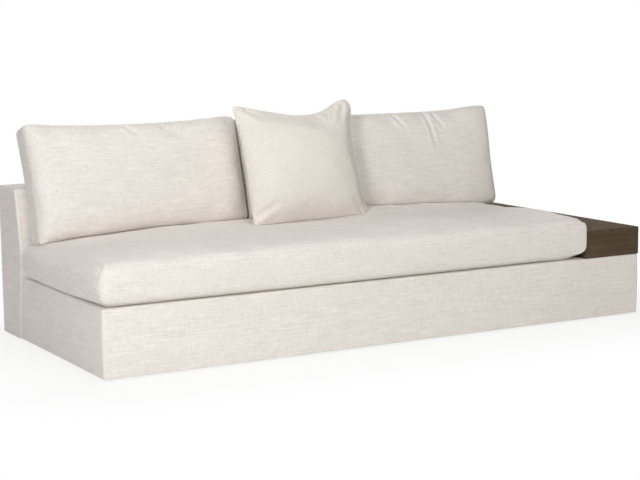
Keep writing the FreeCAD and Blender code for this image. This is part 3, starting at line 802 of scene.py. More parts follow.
@dataclass(frozen=True)
class Seam:
    """Sewn edge of a cover, where the turned allowance under the cloth makes a low ridge."""

    radius: float = 0.0016
    spacing: float = 0.006
    sides: int = 6
    sunk: float = 0.35

    def sew(self, piece: bpy.types.Object, loops: Sequence[list[int]], finish: Finish,
            body: str, slot: str) -> None:
        """Lay ridges along loops of a cover's points.

        Args:
            piece: The cover.
            loops: Loops of its points.
            finish: The cover's finish.
            body: The body that the cover rides on.
            slot: The cover's material slot; not used.
        """
        places = positions(piece) - normals(piece) * self.radius * self.sunk
        tree = GeometryTree("seam_ridge")
        tube = tree.rod(tree.even_curve(self.spacing), self.radius, self.sides, False)
        even = tree.node("GeometryNodeSetShadeSmooth", {"Geometry": tube, "Shade Smooth": True})
        paths = [places[loop] for loop in loops]
        ridge = tree.grow(f"{piece.name}_seams", paths, even.outputs[0], finish.material())
        finish_piece(ridge, finish, body, slot)


def pinch(points: np.ndarray, middle: np.ndarray, loops: Sequence[list[int]], depth: float) -> None:
    """Draw a cover in along its seams, a little more here and less there.

    Args:
        points: The cover's points, moved in place.
        middle: The cover's middle.
        loops: The seams.
        depth: How far they are drawn in.
    """
    for loop in loops:
        way = middle - points[loop]
        way[:, 0] = np.clip(way[:, 0], -0.12, 0.12)
        way = way / np.linalg.norm(way, axis=1, keepdims=True)
        uneven = 1 + 0.5 * np.sin(points[loop] @ np.array((31.0, 43.0, 37.0)))
        points[loop] += way * depth * uneven[:, None]


def grid_faces(grid: np.ndarray) -> list[tuple[int, ...]]:
    """Faces between neighbouring points of a grid of indices."""
    corners = (grid[:-1, :-1], grid[1:, :-1], grid[1:, 1:], grid[:-1, 1:])
    return [tuple(quad) for quad in np.stack(corners, axis=-1).reshape(-1, 4).tolist()]


@dataclass
class SeatCushion:
    """Bench cushion: near-vertical front that rolls under, crowned top, soft ends.

    Attributes:
        pressed: Where the pillow's lower edge presses it, along X and Y.
        dense: Width of the closer grid at its ends, along X, Y and Z.
        crown: How far its top rises in the middle.
        front: How far its front stands before the CAD's.
        top_round: Rounding of the front and rear top edges, along Y and Z.
        foot_round: Rounding of the front and rear lower edges.
        left_corner: Rounding of the upright corners at the left end, along X and Y.
        right_corner: Rounding of the upright corners by the ledge.
        squareness: Power of the upright corners' rounding.
        left_bulge: How far the left end swells out.
        left_droop: How far the top falls towards the left rear.
        ledge_bulge: How far the right end swells out in front of the ledge.
        hollow: Depth of the pillow's dent.
        fullness: Extra crown behind the pillow, under the back cushions.
        end_crown: Extra crown along the edge by the ledge.
        uneven: Strength of the slow unevenness.
        pinched: How far the seams draw it in.
    """

    pressed: tuple[float, float]
    body: str = "seat_cushion"
    dense: Point = (0.10, 0.06, 0.05)
    step: float = 0.019
    crown: float = 0.024
    front: float = 0.004
    top_round: tuple[float, float] = (0.040, 0.042)
    foot_round: tuple[float, float] = (0.052, 0.050)
    left_corner: tuple[float, float] = (0.030, 0.110)
    right_corner: tuple[float, float] = (0.020, 0.020)
    squareness: float = 2.4
    left_bulge: float = 0.020
    left_droop: float = 0.026
    ledge_bulge: float = 0.011
    hollow: float = 0.013
    fullness: float = 0.020
    end_crown: float = 0.0135
    uneven: float = 1.5
    pinched: float = 0.001
    seam: Seam = Seam()
    filling: Filling = Filling(pressure=1.2, stiffness=20, bending=4, frames=14, cap=0.006, sewn=0.01)

    def build(self) -> tuple[bpy.types.Object, list[list[int]]]:
        """Make the cushion where the CAD holds it.

        Returns:
            The cushion and its seams.
        """
        low, high = (np.array(corner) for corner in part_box("seat_cover"))
        low[1] -= self.front
        high[2] -= self.crown
        half, centre = (high - low) / 2, (high + low) / 2
        block = Block(half, self.dense, self.step)
        self.round_edges(block)
        self.swell_ends(block)
        points = block.points
        points += centre
        self.shape_top(points, block.share)
        seams = [block.seam(0, far) for far in (False, True)]
        pinch(points, centre, seams, self.pinched)
        cushion = Shell(points, block.faces).to_object(self.body)
        self.filling.swell(cushion, seams)
        places = positions(cushion)
        places[:, 2] = np.maximum(places[:, 2], low[2])
        set_positions(cushion, places)
        refine(cushion)
        return cushion, seams

    def round_edges(self, block: Block) -> None:
        """Round the edges: fuller below at the front, softer above towards the rear and the ledge."""
        u, v, w = block.share.T
        front = smooth((-v - 0.1) / 0.9)
        left, upper = u < 0, w > 0
        along = np.where(left, np.where(upper, 0.085 - 0.050 * front, 0.020 + 0.030 * front),
                         np.where(upper, 0.060, 0.030 + 0.120 * front))
        rise = np.where(left, np.where(upper, 0.052 - 0.016 * front, 0.014 + 0.022 * front),
                        np.where(upper, 0.028, 0.016 + 0.046 * front))
        block.round((0, 2), (along, rise))
        edges = [np.where(upper, *pair) for pair in zip(self.top_round, self.foot_round)]
        corners = [np.where(left, *pair) for pair in zip(self.left_corner, self.right_corner)]
        block.round((1, 2), edges)
        block.round((0, 1), corners, self.squareness)

    def swell_ends(self, block: Block) -> None:
        """Swell the left end, and the front corner that stands before the ledge."""
        u, _, w = block.share.T
        points = block.points
        points[:, 0] -= self.left_bulge * smooth((-u - 0.9) / 0.1) * (1 - 0.7 * w ** 2)
        forward = smooth((-points[:, 1] - block.half[1] + 0.022) / 0.012)
        points[:, 0] += self.ledge_bulge * smooth((u - 0.93) / 0.07) * forward

    def shape_top(self, points: np.ndarray, share: np.ndarray) -> None:
        """Crown the top, let it droop, and press the pillow's dent into it.

        Args:
            points: The cushion's points, moved in place.
            share: Their places on the block, from -1 to 1.
        """
        u, v, w = share.T
        level = 1 - np.abs(u) ** np.where(u > 0, 6, 4)
        behind = np.exp(-((points[:, 0] - 0.25) / 0.4) ** 2) * smooth((v - 0.2) / 0.4)
        by_ledge = smooth((u - 0.6) / 0.35) * np.maximum(0, 1 - ((v + 0.5) / 0.6) ** 2)
        droop = np.clip((-u - 0.25) / 0.7, 0, 1.1) ** 1.2 * (0.3 + 0.7 * smooth((v + 0.7) / 1.3))
        rise = self.crown * level * (1 - np.abs(v) ** 2.6)
        rise += self.fullness * behind * (1 - np.abs(v) ** 6) + self.end_crown * by_ledge
        rise -= self.left_droop * droop
        top = smooth((w + 1) / 2)
        points[:, 2] += top * rise
        points[:, 2] += top * sway(points, UNEVEN) * self.uneven
        away = points[:, :2] - np.array(self.pressed)
        dent = np.exp(-(away[:, 0] / 0.38) ** 4 - (away[:, 1] / 0.10) ** 2)
        points[:, 2] -= top * self.hollow * dent

    def dress(self, cushion: bpy.types.Object, seams: Sequence[list[int]]) -> None:
        """Cover the cushion."""
        nodes = ("seat_cover", "seat_fibre_wrap", "seat_foam_core")
        finish_piece(cushion, UPHOLSTERY, self.body, "woven_fabric", *nodes)
        self.seam.sew(cushion, seams, UPHOLSTERY, self.body, "woven_fabric")


@dataclass
class BackCushion:
    """Loose boxed back cushion: leans on the back, full in the middle, its top dipped between its corners.

    Attributes:
        side: Which of the two it is.
        creases: Pulls in its front.
        top_dip: How far its top edge dips.
        dip_at: Where it dips most, as a share from the middle.
        flare: How far its outer top corner stands out.
        dense: Width of the closer grid at its ends, along its own axes.
        front_round: Rounding of its front edges.
        rear_round: Rounding of its rear edges.
        corner_round: Rounding of its corners, seen from the front.
        front_crown: How far its front swells.
        rear_crown: How far its rear swells.
        lower: How far its top lies under the CAD's.
        drawn_in: How far its outer end is drawn in.
        inner_round: Rounding of its edges by the other cushion.
        inner_press: How far it presses against the other cushion.
        foot_flare: Share of the flare that its foot has.
        uneven: Strength of the slow unevenness.
        pinched: How far the seams draw it in.
        sunk: Furthest that its foot follows the seat down.
    """

    side: str
    creases: Sequence[Crease]
    top_dip: float
    dip_at: float
    flare: float
    dense: Point = (0.055, 0.055, 0.045)
    step: float = 0.014
    front_round: float = 0.034
    rear_round: float = 0.024
    corner_round: float = 0.030
    front_crown: float = 0.030
    rear_crown: float = 0.006
    lower: float = 0.004
    drawn_in: float = 0.003
    inner_round: float = 0.010
    inner_press: float = 0.005
    foot_flare: float = 0.25
    uneven: float = 2.0
    pinched: float = 0.003
    sunk: float = 0.04
    seam: Seam = Seam(radius=0.0018)
    filling: Filling = Filling(pressure=1.6, stiffness=15, bending=1.5, frames=16, cap=0.009, sewn=0.04)

    @property
    def body(self) -> str:
        """Name of the body and of the piece."""
        return f"back_cushion_{self.side}"

    def inner(self, u: np.ndarray) -> np.ndarray:
        """Which points lie on the half next to the other cushion."""
        return u > 0 if self.side == "left" else u < 0

    def axes(self) -> np.ndarray:
        """Directions of the cushion's width, lean and front, as rows."""
        joint = next(joint for joint in frame["joints"] if joint["child"] == self.body)
        lean = np.array(joint["axis"], float)
        across = np.array((1.0, 0.0, 0.0))
        return np.stack([across, lean, np.cross(across, lean)])

    def build(self, seat: BVHTree, back: BVHTree) -> tuple[bpy.types.Object, list[list[int]]]:
        """Make the cushion where the CAD holds it.

        Args:
            seat: Surface of the seat cushion, on which it stands.
            back: Surface of the low back, on which it leans.

        Returns:
            The cushion and its seams.
        """
        axes = self.axes()
        local = positions(frame["nodes"][f"back_cover_{self.side}"]) @ axes.T
        low, high = local.min(axis=0), local.max(axis=0)
        left, top = low[0], high[1]
        low[2] += self.rear_crown
        high[2] -= self.front_crown
        high[1] -= self.lower
        half, centre = (high - low) / 2, (high + low) / 2
        block = Block(half, self.dense, self.step)
        u, t, w = block.share.T
        facing = np.where(w > 0, self.front_round, self.rear_round)
        ends = np.where(self.inner(u), self.inner_round, facing)
        block.round((0, 2), (ends, ends))
        block.round((1, 2), (facing, facing))
        block.round((0, 1), (self.corner_round, self.corner_round))
        self.stuff(block)
        points = block.points + centre
        points[:, 2] += sway(points, UNEVEN) * self.uneven * smooth((w + 1) / 2)
        seams = [block.seam(2, far) for far in (True, False)]
        pinch(points, centre, seams, self.pinched)
        points = self.settle(points @ axes, t, seat)
        cushion = Shell(points, block.faces).to_object(self.body)
        self.filling.swell(cushion, seams)
        refine(cushion)
        self.pull(cushion, axes, left, top)
        places = rest_on(positions(cushion), back, FORWARD)
        set_positions(cushion, rest_on(places, seat, UP))
        return cushion, seams

    def stuff(self, block: Block) -> None:
        """Crown the faces, dip the top edge and draw in the ends."""
        u, t, w = block.share.T
        inner = self.inner(u)
        full = (1 - np.abs(u) ** np.where(inner, 16, 5)) * (1 - np.abs(t) ** 3)
        front, rear = smooth((w + 1) / 2), smooth((1 - w) / 2)
        block.points[:, 2] += front * self.front_crown * full - rear * self.rear_crown * full
        reach = np.where(u > self.dip_at, 1 - self.dip_at, 1 + self.dip_at)
        dip = np.maximum(0, 1 - np.abs((u - self.dip_at) / reach) ** 1.8)
        block.points[:, 1] -= smooth(t) * self.top_dip * dip
        out = np.where(inner, self.inner_press, -self.drawn_in * (1 - t ** 2))
        block.points[:, 0] += out * np.sign(u) * np.abs(u) ** 6
        outer = smooth((u - 0.55) / 0.45) if self.flare > 0 else smooth((-u - 0.55) / 0.45)
        high = self.foot_flare + (1 - self.foot_flare) * np.clip((t + 1) / 2, 0, 1) ** 1.4
        block.points[:, 0] += self.flare * outer * high
        block.points[:, 2] += 0.5 * abs(self.flare) * outer * high

    def settle(self, points: np.ndarray, height: np.ndarray, seat: BVHTree) -> np.ndarray:
        """Let the foot of the cushion follow the seat.

        Args:
            points: The cushion's points.
            height: Their height on the cushion, from -1 to 1.
            seat: Surface of the seat cushion.

        Returns:
            The points, lower where the seat falls away.
        """
        line = np.linspace(points[:, 0].min(), points[:, 0].max(), 60)
        deep = points[height < -0.9][:, 1].mean()
        hits = [seat.ray_cast(Vector((place, deep, REACH)), -UP)[0] for place in line]
        tops = np.array([np.nan if hit is None else hit.z for hit in hits])
        held = np.flatnonzero(~np.isnan(tops))[:-2]
        tops = np.interp(line, line[held], tops[held])
        sink = np.interp(points[:, 0], line, np.median(tops) - tops)
        weight = np.clip((0.4 - height) / 1.4, 0, 1) ** 1.5
        lowered = points.copy()
        lowered[:, 2] -= np.clip(sink, 0, self.sunk) * weight
        return lowered

    def pull(self, cushion: bpy.types.Object, axes: np.ndarray, left: float, top: float) -> None:
        """Add the creases that run down from the top seam.

        Args:
            cushion: The cushion.
            axes: Its own directions.
            left: Its left edge along the first of them.
            top: Its top edge along the second.
        """
        places = positions(cushion)
        local = places @ axes.T
        facing = smooth(((normals(cushion) @ axes.T)[:, 2] + 0.3) / 0.6)
        for crease in self.creases:
            rise = crease.height(local[:, 0] - left, top - local[:, 1]) * facing
            places += rise[:, None] * axes[2]
        set_positions(cushion, places)

    def dress(self, cushion: bpy.types.Object, seams: Sequence[list[int]]) -> None:
        """Cover the cushion."""
        nodes = (f"back_cover_{self.side}", f"back_filling_{self.side}")
        finish_piece(cushion, UPHOLSTERY, self.body, "woven_fabric", *nodes)
        self.seam.sew(cushion, seams, UPHOLSTERY, self.body, "woven_fabric")


@dataclass
class ThrowPillow:
    """Knife-edge square of nubby cloth: two squares sewn together and stuffed, its top pressed in by hand.

    Attributes:
        rear_full: How much fuller its rear is than its front.
        shift: How far its middle lies from the CAD's.
        chop: Depth of the hand's press in its top edge.
        chop_at: Where it is pressed most, as a share from the middle.
        chop_end: Where the press ends on the right.
        top_left: How far the top left corner is moved out and up.
        top_right: How far the top right corner is moved out and up.
        rear_nub: How far the rear cloth stands out at the lower right corner.
        ear: Rounding of the corners, as a share of half the width.
        limp_ear: Rounding of the top right corner.
        drawn_in: How far the sides are drawn in between the corners.
        bunched: How much closer the grid is towards the rim.
        plump: Powers of the filling's fall towards the rim.
        heavy: How much more of it lies below than above.
        uneven: Strength of the slow unevenness.
    """

    body: str = "throw_pillow"
    width: float = 0.600
    height: float = 0.575
    thickness: float = 0.205
    rear_full: float = 1.35
    shift: Point = (-0.025, -0.035, -0.014)
    lean: float = math.radians(18)
    turn: float = math.radians(3)
    chop: float = 0.060
    chop_at: float = 0.25
    top_left: tuple[float, float] = (-0.012, -0.012)
    top_right: tuple[float, float] = (0.048, 0.007)
    rear_nub: float = 0.05
    ear: float = 0.10
    limp_ear: float = 0.26
    chop_end: float = 0.88
    drawn_in: float = 0.012
    bunched: float = 0.92
    plump: tuple[float, float] = (2.3, 0.62)
    heavy: float = 0.10
    uneven: float = 1.5
    faces: int = 60
    seam: Seam = Seam(radius=0.0026)
    filling: Filling = Filling(pressure=2.0, stiffness=10, bending=0.4, frames=18, cap=0.008, sewn=0.05)
    creases: Sequence[Crease] = (
        Crease((0.396, 0.062), (0.424, 0.120), 0.008, 0.009),
        Crease((0.030, 0.520), (0.120, 0.470), 0.008, 0.013),
        Crease((0.060, 0.040), (0.130, 0.120), 0.005, 0.014),
        Crease((0.560, 0.050), (0.500, 0.140), 0.006, 0.014),
        Crease((0.575, 0.545), (0.500, 0.470), 0.006, 0.014),
    )

    def build(self, seat: BVHTree, backs: BVHTree) -> tuple[bpy.types.Object, list[list[int]]]:
        """Sew, stuff and set down the pillow.

        Args:
            seat: Surface of the seat cushion, on which it stands.
            backs: Surface of the back cushions, on which it leans.

        Returns:
            The pillow and its seam.
        """
        shell, rim = self.sewn()
        pillow = shell.to_object(self.body)
        self.filling.swell(pillow, [rim])
        refine(pillow)
        self.press(pillow)
        tilt = Matrix.Rotation(self.turn, 3, "Z") @ Matrix.Rotation(-self.lean, 3, "X")
        places = positions(pillow) @ np.array(tilt).T + self.middle()
        places = rest_on(places, backs, FORWARD)
        set_positions(pillow, rest_on(places, seat, UP))
        return pillow, [rim]

    def middle(self) -> np.ndarray:
        """Middle of the pillow, a little forward of the CAD's and sunk into the seat."""
        low, high = (np.array(corner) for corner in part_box("pillow_cover"))
        return (low + high) / 2 + np.array(self.shift)

    def foot(self) -> tuple[float, float]:
        """Where its lower edge presses the seat, along X and Y."""
        middle = self.middle()
        return float(middle[0]), float(middle[1] - math.sin(self.lean) * self.height / 2)

    def sewn(self) -> tuple[Shell, list[int]]:
        """Two squares joined at their edges, upright in XZ, and the points of the seam."""
        count = self.faces
        quarter = self.bunched * math.pi / 2
        line = np.sin(np.linspace(-quarter, quarter, count + 1)) / math.sin(quarter)
        u, v = np.meshgrid(line, line, indexing="ij")
        power, fall = self.plump
        belly = np.prod([np.maximum(0, 1 - np.abs(side) ** power) ** fall for side in (u, v)], axis=0)
        belly = belly * self.thickness / 2 * (1 - self.heavy * v)
        u, v = self.eared(u, v)
        x, z = self.outline(u, v)
        index = np.arange((count + 1) ** 2).reshape(count + 1, count + 1)
        inner = np.zeros_like(index, bool)
        inner[1:-1, 1:-1] = True
        rear_index = index.copy()
        rear_index[inner] = (count + 1) ** 2 + np.arange(inner.sum())
        front = np.stack([x, -belly, z], axis=-1).reshape(-1, 3)
        nub = smooth((u - v - 1.5) / 0.4) * self.rear_nub
        rear = np.stack([x + nub, belly * self.rear_full + 0.6 * nub, z + 0.3 * nub], axis=-1)[inner]
        rim = [*index[:-1, 0], *index[-1, :-1], *index[:0:-1, -1], *index[0, :0:-1]]
        faces = grid_faces(index) + [quad[::-1] for quad in grid_faces(rear_index)]
        return Shell(np.concatenate([front, rear]), faces), [int(point) for point in rim]

    def eared(self, u: np.ndarray, v: np.ndarray) -> tuple[np.ndarray, np.ndarray]:
        """Square grid with its corners rounded, the top right one more than the others."""
        ear = np.where((u > 0) & (v > 0), self.limp_ear, self.ear)
        across, along = (np.clip((np.abs(side) - 1 + ear) / ear, 0, 1) for side in (u, v))
        return (u - np.sign(u) * ear * across * (1 - np.sqrt(1 - along ** 2 / 2)),
                v - np.sign(v) * ear * along * (1 - np.sqrt(1 - across ** 2 / 2)))

    def outline(self, u: np.ndarray, v: np.ndarray) -> tuple[np.ndarray, np.ndarray]:
        """Places of the grid across and up: sides drawn in, top edge pressed in, top corners moved."""
        x = self.width / 2 * u * (1 - self.drawn_in * 3 * (1 - v ** 2))
        z = self.height / 2 * v * (1 - self.drawn_in * 2 * (1 - u ** 2))
        reach = np.where(u > self.chop_at, self.chop_end - self.chop_at, 1 + self.chop_at)
        dip = np.maximum(0, 1 - ((u - self.chop_at) / reach) ** 2) ** 1.3
        z -= self.chop * dip * smooth((v + 0.1) / 1.1) ** 2
        for side, (out, up) in ((-1, self.top_left), (1, self.top_right)):
            near = (np.clip(side * u, 0, 1) * np.clip(v, 0, 1)) ** 2
            x += out * near
            z += up * near
        return x, z

    def press(self, pillow: bpy.types.Object) -> None:
        """Add the creases of the front, and the loops' unevenness."""
        places = positions(pillow)
        facing = smooth((-normals(pillow)[:, 1] + 0.1) / 0.5)
        for crease in self.creases:
            rise = crease.height(places[:, 0] + self.width / 2, self.height / 2 - places[:, 2])
            places[:, 1] -= rise * facing
        places += normals(pillow) * sway(places, UNEVEN)[:, None] * self.uneven
        set_positions(pillow, places)

    def dress(self, pillow: bpy.types.Object, seams: Sequence[list[int]]) -> None:
        """Cover the pillow."""
        finish_piece(pillow, PILLOW_CLOTH, self.body, "boucle", "pillow_cover", "pillow_filling")
        self.seam.sew(pillow, seams, PILLOW_CLOTH, self.body, "boucle")


@dataclass(frozen=True)
class Corner:
    """Corner of a flat outline, with a radius."""

    u: float
    v: float
    radius: float = 0.0


def rounded_outline(corners: Sequence[Corner], segments: int = 5) -> np.ndarray:
    """Closed outline with its corners rounded.

    Args:
        corners: The corners, counter-clockwise.
        segments: Steps of each round.

    Returns:
        The outline's points.
    """
    points: list[np.ndarray] = []
    for index, corner in enumerate(corners):
        here = np.array((corner.u, corner.v))
        before, after = corners[index - 1], corners[(index + 1) % len(corners)]
        back = np.array((before.u, before.v)) - here
        on = np.array((after.u, after.v)) - here
        back, on = back / np.linalg.norm(back), on / np.linalg.norm(on)
        if corner.radius == 0:
            points.append(here)
            continue
        half_turn = math.acos(np.clip(back @ on, -1, 1)) / 2
        reach = corner.radius / math.tan(half_turn)
        start, end = here + back * reach, here + on * reach
        for share in np.linspace(0, 1, segments + 1):
            points.append((1 - share) ** 2 * start + 2 * share * (1 - share) * here + share ** 2 * end)
    return np.array(points)


def spaced(line: np.ndarray, step: float, closed: bool = True) -> np.ndarray:
    """Line of points with extra ones on its long runs.

    Args:
        line: The points.
        step: Longest run to leave.
        closed: Whether the line comes back to its start.

    Returns:
        The old and new points, in order.
    """
    points: list[np.ndarray] = []
    for start, end in zip(line, np.roll(line, -1, axis=0) if closed else line[1:]):
        count = max(1, math.ceil(np.linalg.norm(end - start) / step))
        points += [start + (end - start) * share for share in np.arange(count) / count]
    return np.array(points if closed else [*points, line[-1]])


def inward(outline: np.ndarray) -> np.ndarray:
    """Unit directions into a counter-clockwise outline at its points."""
    edge = np.roll(outline, -1, axis=0) - outline
    edge = edge / np.linalg.norm(edge, axis=1, keepdims=True)
    way = np.stack([-edge[:, 1], edge[:, 0]], axis=1)
    mean = way + np.roll(way, 1, axis=0)
    return mean / np.linalg.norm(mean, axis=1, keepdims=True)


def tube(loops: Sequence[np.ndarray], flipped: bool = False) -> Shell:
    """Closed shell through loops of points that follow each other.

    Args:
        loops: The loops, counter-clockwise about the way that they follow.
        flipped: Whether they run the other way round.

    Returns:
        The shell, with outward faces.
    """
    around = len(loops[0])
    last = (len(loops) - 1) * around
    faces: list[tuple[int, ...]] = []
    for start in range(0, last, around):
        for index in range(around):
            here, after = start + index, start + (index + 1) % around
            faces.append((after, after + around, here + around, here))
    faces.append(tuple(range(around))[::-1])
    faces.append(tuple(range(last, last + around)))
    if flipped:
        faces = [face[::-1] for face in faces]
    return Shell(np.concatenate(loops), faces)


@dataclass
class PaddedSlab:
    """Upholstered panel: an outline in the YZ plane, drawn along X, with rounded rims and a flat foot."""

    outline: np.ndarray
    start: float
    end: float
    rim: float
    step: float = 0.03
    border: float = 0.004
    level: float = 0.0001

    def shell(self) -> Shell:
        """Make the panel.

        Returns:
            A closed shell.
        """
        turns = np.linspace(0, math.pi / 2, 5)
        rims = [(0.0, self.rim + self.border)]
        rims += [(self.rim * (1 - math.cos(turn)), self.rim * (1 - math.sin(turn))) for turn in turns]
        count = max(2, math.ceil((self.end - self.start - 2 * self.rim) / self.step))
        middle = np.linspace(self.start + self.rim, self.end - self.rim, count + 1)[1:-1]
        stations = [(self.start + along, inset) for along, inset in rims]
        stations += [(place, 0.0) for place in middle]
        stations += [(self.end - along, inset) for along, inset in reversed(rims)]
        outline = spaced(self.outline, self.step)
        way = inward(outline)
        way[outline[:, 1] < outline[:, 1].min() + self.level] = 0
        return tube([np.column_stack([np.full(len(outline), place), outline + way * inset])
                     for place, inset in stations])


@dataclass
class LowBack:
    """Low pitched back: one cover over its face, top and rear, and a boxed panel at each end."""

    body: str = "frame"
    round: float = 0.014
    rim: float = 0.006
    overlap: float = 0.003
    hem: float = 0.004
    fold: float = 0.004
    nose: float = 0.02

    def build(self) -> list[bpy.types.Object]:
        """Make the cover and the end panels.

        Returns:
            The pieces, the long cover first.
        """
        pad_low, pad_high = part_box("inside_back_pad")
        top_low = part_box("back_top_pad")[0]
        rear_low, rear_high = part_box("outside_back_cover")
        foot = rear_low.z - self.hem
        wrap = rounded_outline([
            Corner(pad_low.y, pad_low.z),
            Corner(rear_high.y - self.round, pad_low.z),
            Corner(rear_high.y - self.round, foot),
            Corner(rear_high.y, foot, self.fold),
            Corner(rear_high.y, rear_high.z, self.round),
            Corner(top_low.y, rear_high.z, self.round),
        ])
        slab = PaddedSlab(wrap, pad_low.x - self.overlap, pad_high.x + self.overlap, HIDDEN_RIM)
        long_cover = slab.shell().to_object("back_long_cover")
        return [long_cover, self.end_panel("back_left_end_cover"), self.end_panel("back_right_end_cover")]

    def end_panel(self, node: str) -> bpy.types.Object:
        """Boxed panel at one end, with the CAD panel's outline.

        Args:
            node: The CAD panel.

        Returns:
            The panel.
        """
        low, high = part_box(node)
        places = positions(frame["nodes"][node])
        front = places[np.argmin(places[:, 1])]
        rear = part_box("outside_back_cover")[1].y
        foot = low.z - self.hem
        corners = [Corner(places[places[:, 2] < low.z + NEAR][:, 1].min(), foot, self.fold),
                   Corner(rear, foot, self.fold),
                   Corner(rear, high.z, self.round),
                   Corner(self.top_edge(places, high.z), high.z, self.round)]
        if front[2] > low.z + 0.01:
            corners.append(Corner(front[1], front[2], self.nose))
        slab = PaddedSlab(rounded_outline(corners), low.x, high.x, self.rim)
        return slab.shell().to_object(node.replace("cover", "panel"))

    @staticmethod
    def top_edge(places: np.ndarray, height: float) -> float:
        """Y of a CAD panel's pitched front edge, carried on to a height."""
        front = places[places[:, 1] < places[:, 1].max() - 0.05]
        upper = front[front[:, 2] > height - 0.02]
        return float(upper[:, 1].min())

    def dress(self, pieces: Sequence[bpy.types.Object]) -> None:
        """Cover the back."""
        covers = ("inside_back_pad", "back_top_pad", "outside_back_cover")
        finish_piece(pieces[0], UPHOLSTERY, self.body, "woven_fabric", *covers)
        for panel in pieces[1:]:
            finish_piece(panel, UPHOLSTERY, self.body, "woven_fabric", panel.name.replace("panel", "cover"))


@dataclass
class Plinth:
    """Base to the floor: one tight cover round the left end, the front, the right end and behind the ledge.

    Attributes:
        puff: How far the cover swells between its foot and its top.
        hem: How far its hem hangs below the CAD's covers.
        flush: How far it comes out beside the back's end panel.
        flush_run: Over what length it does so.
        turn_in: How far the top is turned in, as a share of the cover's thickness.
    """

    body: str = "frame"
    corner_radius: float = 0.012
    top_radius: float = 0.009
    foot_radius: float = 0.003
    puff: float = 0.003
    hem: float = 0.004
    flush: float = 0.0025
    flush_run: float = 0.15
    turn_in: float = 1.8
    step: float = 0.03

    def build(self) -> bpy.types.Object:
        """Make the cover.

        Returns:
            The cover, a closed shell.
        """
        front_low, front_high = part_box("base_front_cover")
        left_low, left_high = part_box("base_left_cover")
        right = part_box("base_right_cover")[1].x
        rear_low, rear_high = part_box("ledge_rear_cover")
        left = positions(frame["nodes"]["base_left_cover"])
        outer = left[left[:, 0] < left_low.x + NEAR]
        seam_foot = outer[outer[:, 2] < left_low.z + NEAR][:, 1].max()
        seam_top = outer[outer[:, 2] > left_high.z - NEAR][:, 1].max()
        places, ways = self.path(
            (left_low.x, (seam_foot + seam_top) / 2), (left_low.x, front_low.y), (right, front_low.y),
            (right, rear_high.y), (rear_low.x, rear_high.y))
        thickness = rear_high.y - rear_low.y
        foot, top = front_low.z - self.hem, front_high.z
        profile = spaced(rounded_outline([
            Corner(-thickness, foot),
            Corner(0.0, foot, self.foot_radius),
            Corner(0.0, top, self.top_radius),
            Corner(-thickness * self.turn_in, top, self.foot_radius),
            Corner(-thickness * self.turn_in, top - thickness),
            Corner(-thickness, top - thickness),
        ]), self.step)
        rise = np.clip((profile[:, 1] - foot) / (top - foot), 0, 1)
        loops = []
        for place, way in zip(places, ways):
            beside = smooth(np.array(1 - (seam_top - place[1]) / self.flush_run)) * max(0.0, -way[0])
            proud = self.puff * np.sin(rise * math.pi) + self.flush * beside
            out = profile[:, 0] + proud * (profile[:, 0] > -thickness / 2)
            loops.append(np.column_stack([place[0] + way[0] * out, place[1] + way[1] * out, profile[:, 1]]))
        loops[0][:, 1] = seam_foot + (seam_top - seam_foot) * rise
        return tube(loops, flipped=True).to_object("plinth_cover")

    def path(self, *corners: tuple[float, float]) -> tuple[np.ndarray, np.ndarray]:
        """Way round the base, with rounded corners.

        Args:
            corners: Its corners in plan, from the left end's rear to the rear of the ledge.

        Returns:
            Its points, and the outward direction at each.
        """
        points: list[np.ndarray] = []
        for index, corner in enumerate(corners):
            here = np.array(corner)
            if index in (0, len(corners) - 1):
                points.append(here)
                continue
            back = np.array(corners[index - 1]) - here
            on = np.array(corners[index + 1]) - here
            back, on = back / np.linalg.norm(back), on / np.linalg.norm(on)
            middle = here + (back + on) * self.corner_radius
            for share in np.linspace(0, math.pi / 2, 6):
                points.append(middle - on * self.corner_radius * math.cos(share)
                              - back * self.corner_radius * math.sin(share))
        line = spaced(np.array(points), self.step * 2, closed=False)
        run = np.gradient(line, axis=0)
        run = run / np.linalg.norm(run, axis=1, keepdims=True)
        return line, np.column_stack([run[:, 1], -run[:, 0]])

    def dress(self, cover: bpy.types.Object) -> None:
        """Cover the base."""
        nodes = ("base_front_cover", "base_left_cover", "base_right_cover", "ledge_rear_cover")
        finish_piece(cover, UPHOLSTERY, self.body, "woven_fabric", *nodes)


@dataclass
class Deck:
    """Padded deck under the seat cushion."""

    body: str = "frame"
    rim: float = 0.004

    def build(self) -> bpy.types.Object:
        """Make the deck.

        Returns:
            The deck.
        """
        low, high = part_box("deck_pad")[0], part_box("deck_cloth")[1]
        outline = rounded_outline([Corner(low.y, low.z), Corner(high.y, low.z),
                                   Corner(high.y, high.z, self.rim), Corner(low.y, high.z, self.rim)])
        return PaddedSlab(outline, low.x, high.x, HIDDEN_RIM).shell().to_object("seat_deck")

    def dress(self, deck: bpy.types.Object) -> None:
        """Cover the deck."""
        finish_piece(deck, DECKING, self.body, "decking", "deck_pad", "deck_cloth")


def loose_parts(piece: bpy.types.Object) -> list[np.ndarray]:
    """Points of each separate solid of a CAD piece."""
    corners, index = np.unique(np.round(positions(piece), 6), axis=0, return_inverse=True)
    index = index.ravel()
    faces = [index[list(polygon.vertices)] for polygon in piece.data.polygons]
    label = np.arange(len(corners))
    settled = False
    while not settled:
        settled = True
        for face in faces:
            lowest = label[face].min()
            if (label[face] > lowest).any():
                label[face] = lowest
                settled = False
    return [corners[label == one] for one in np.unique(label)]


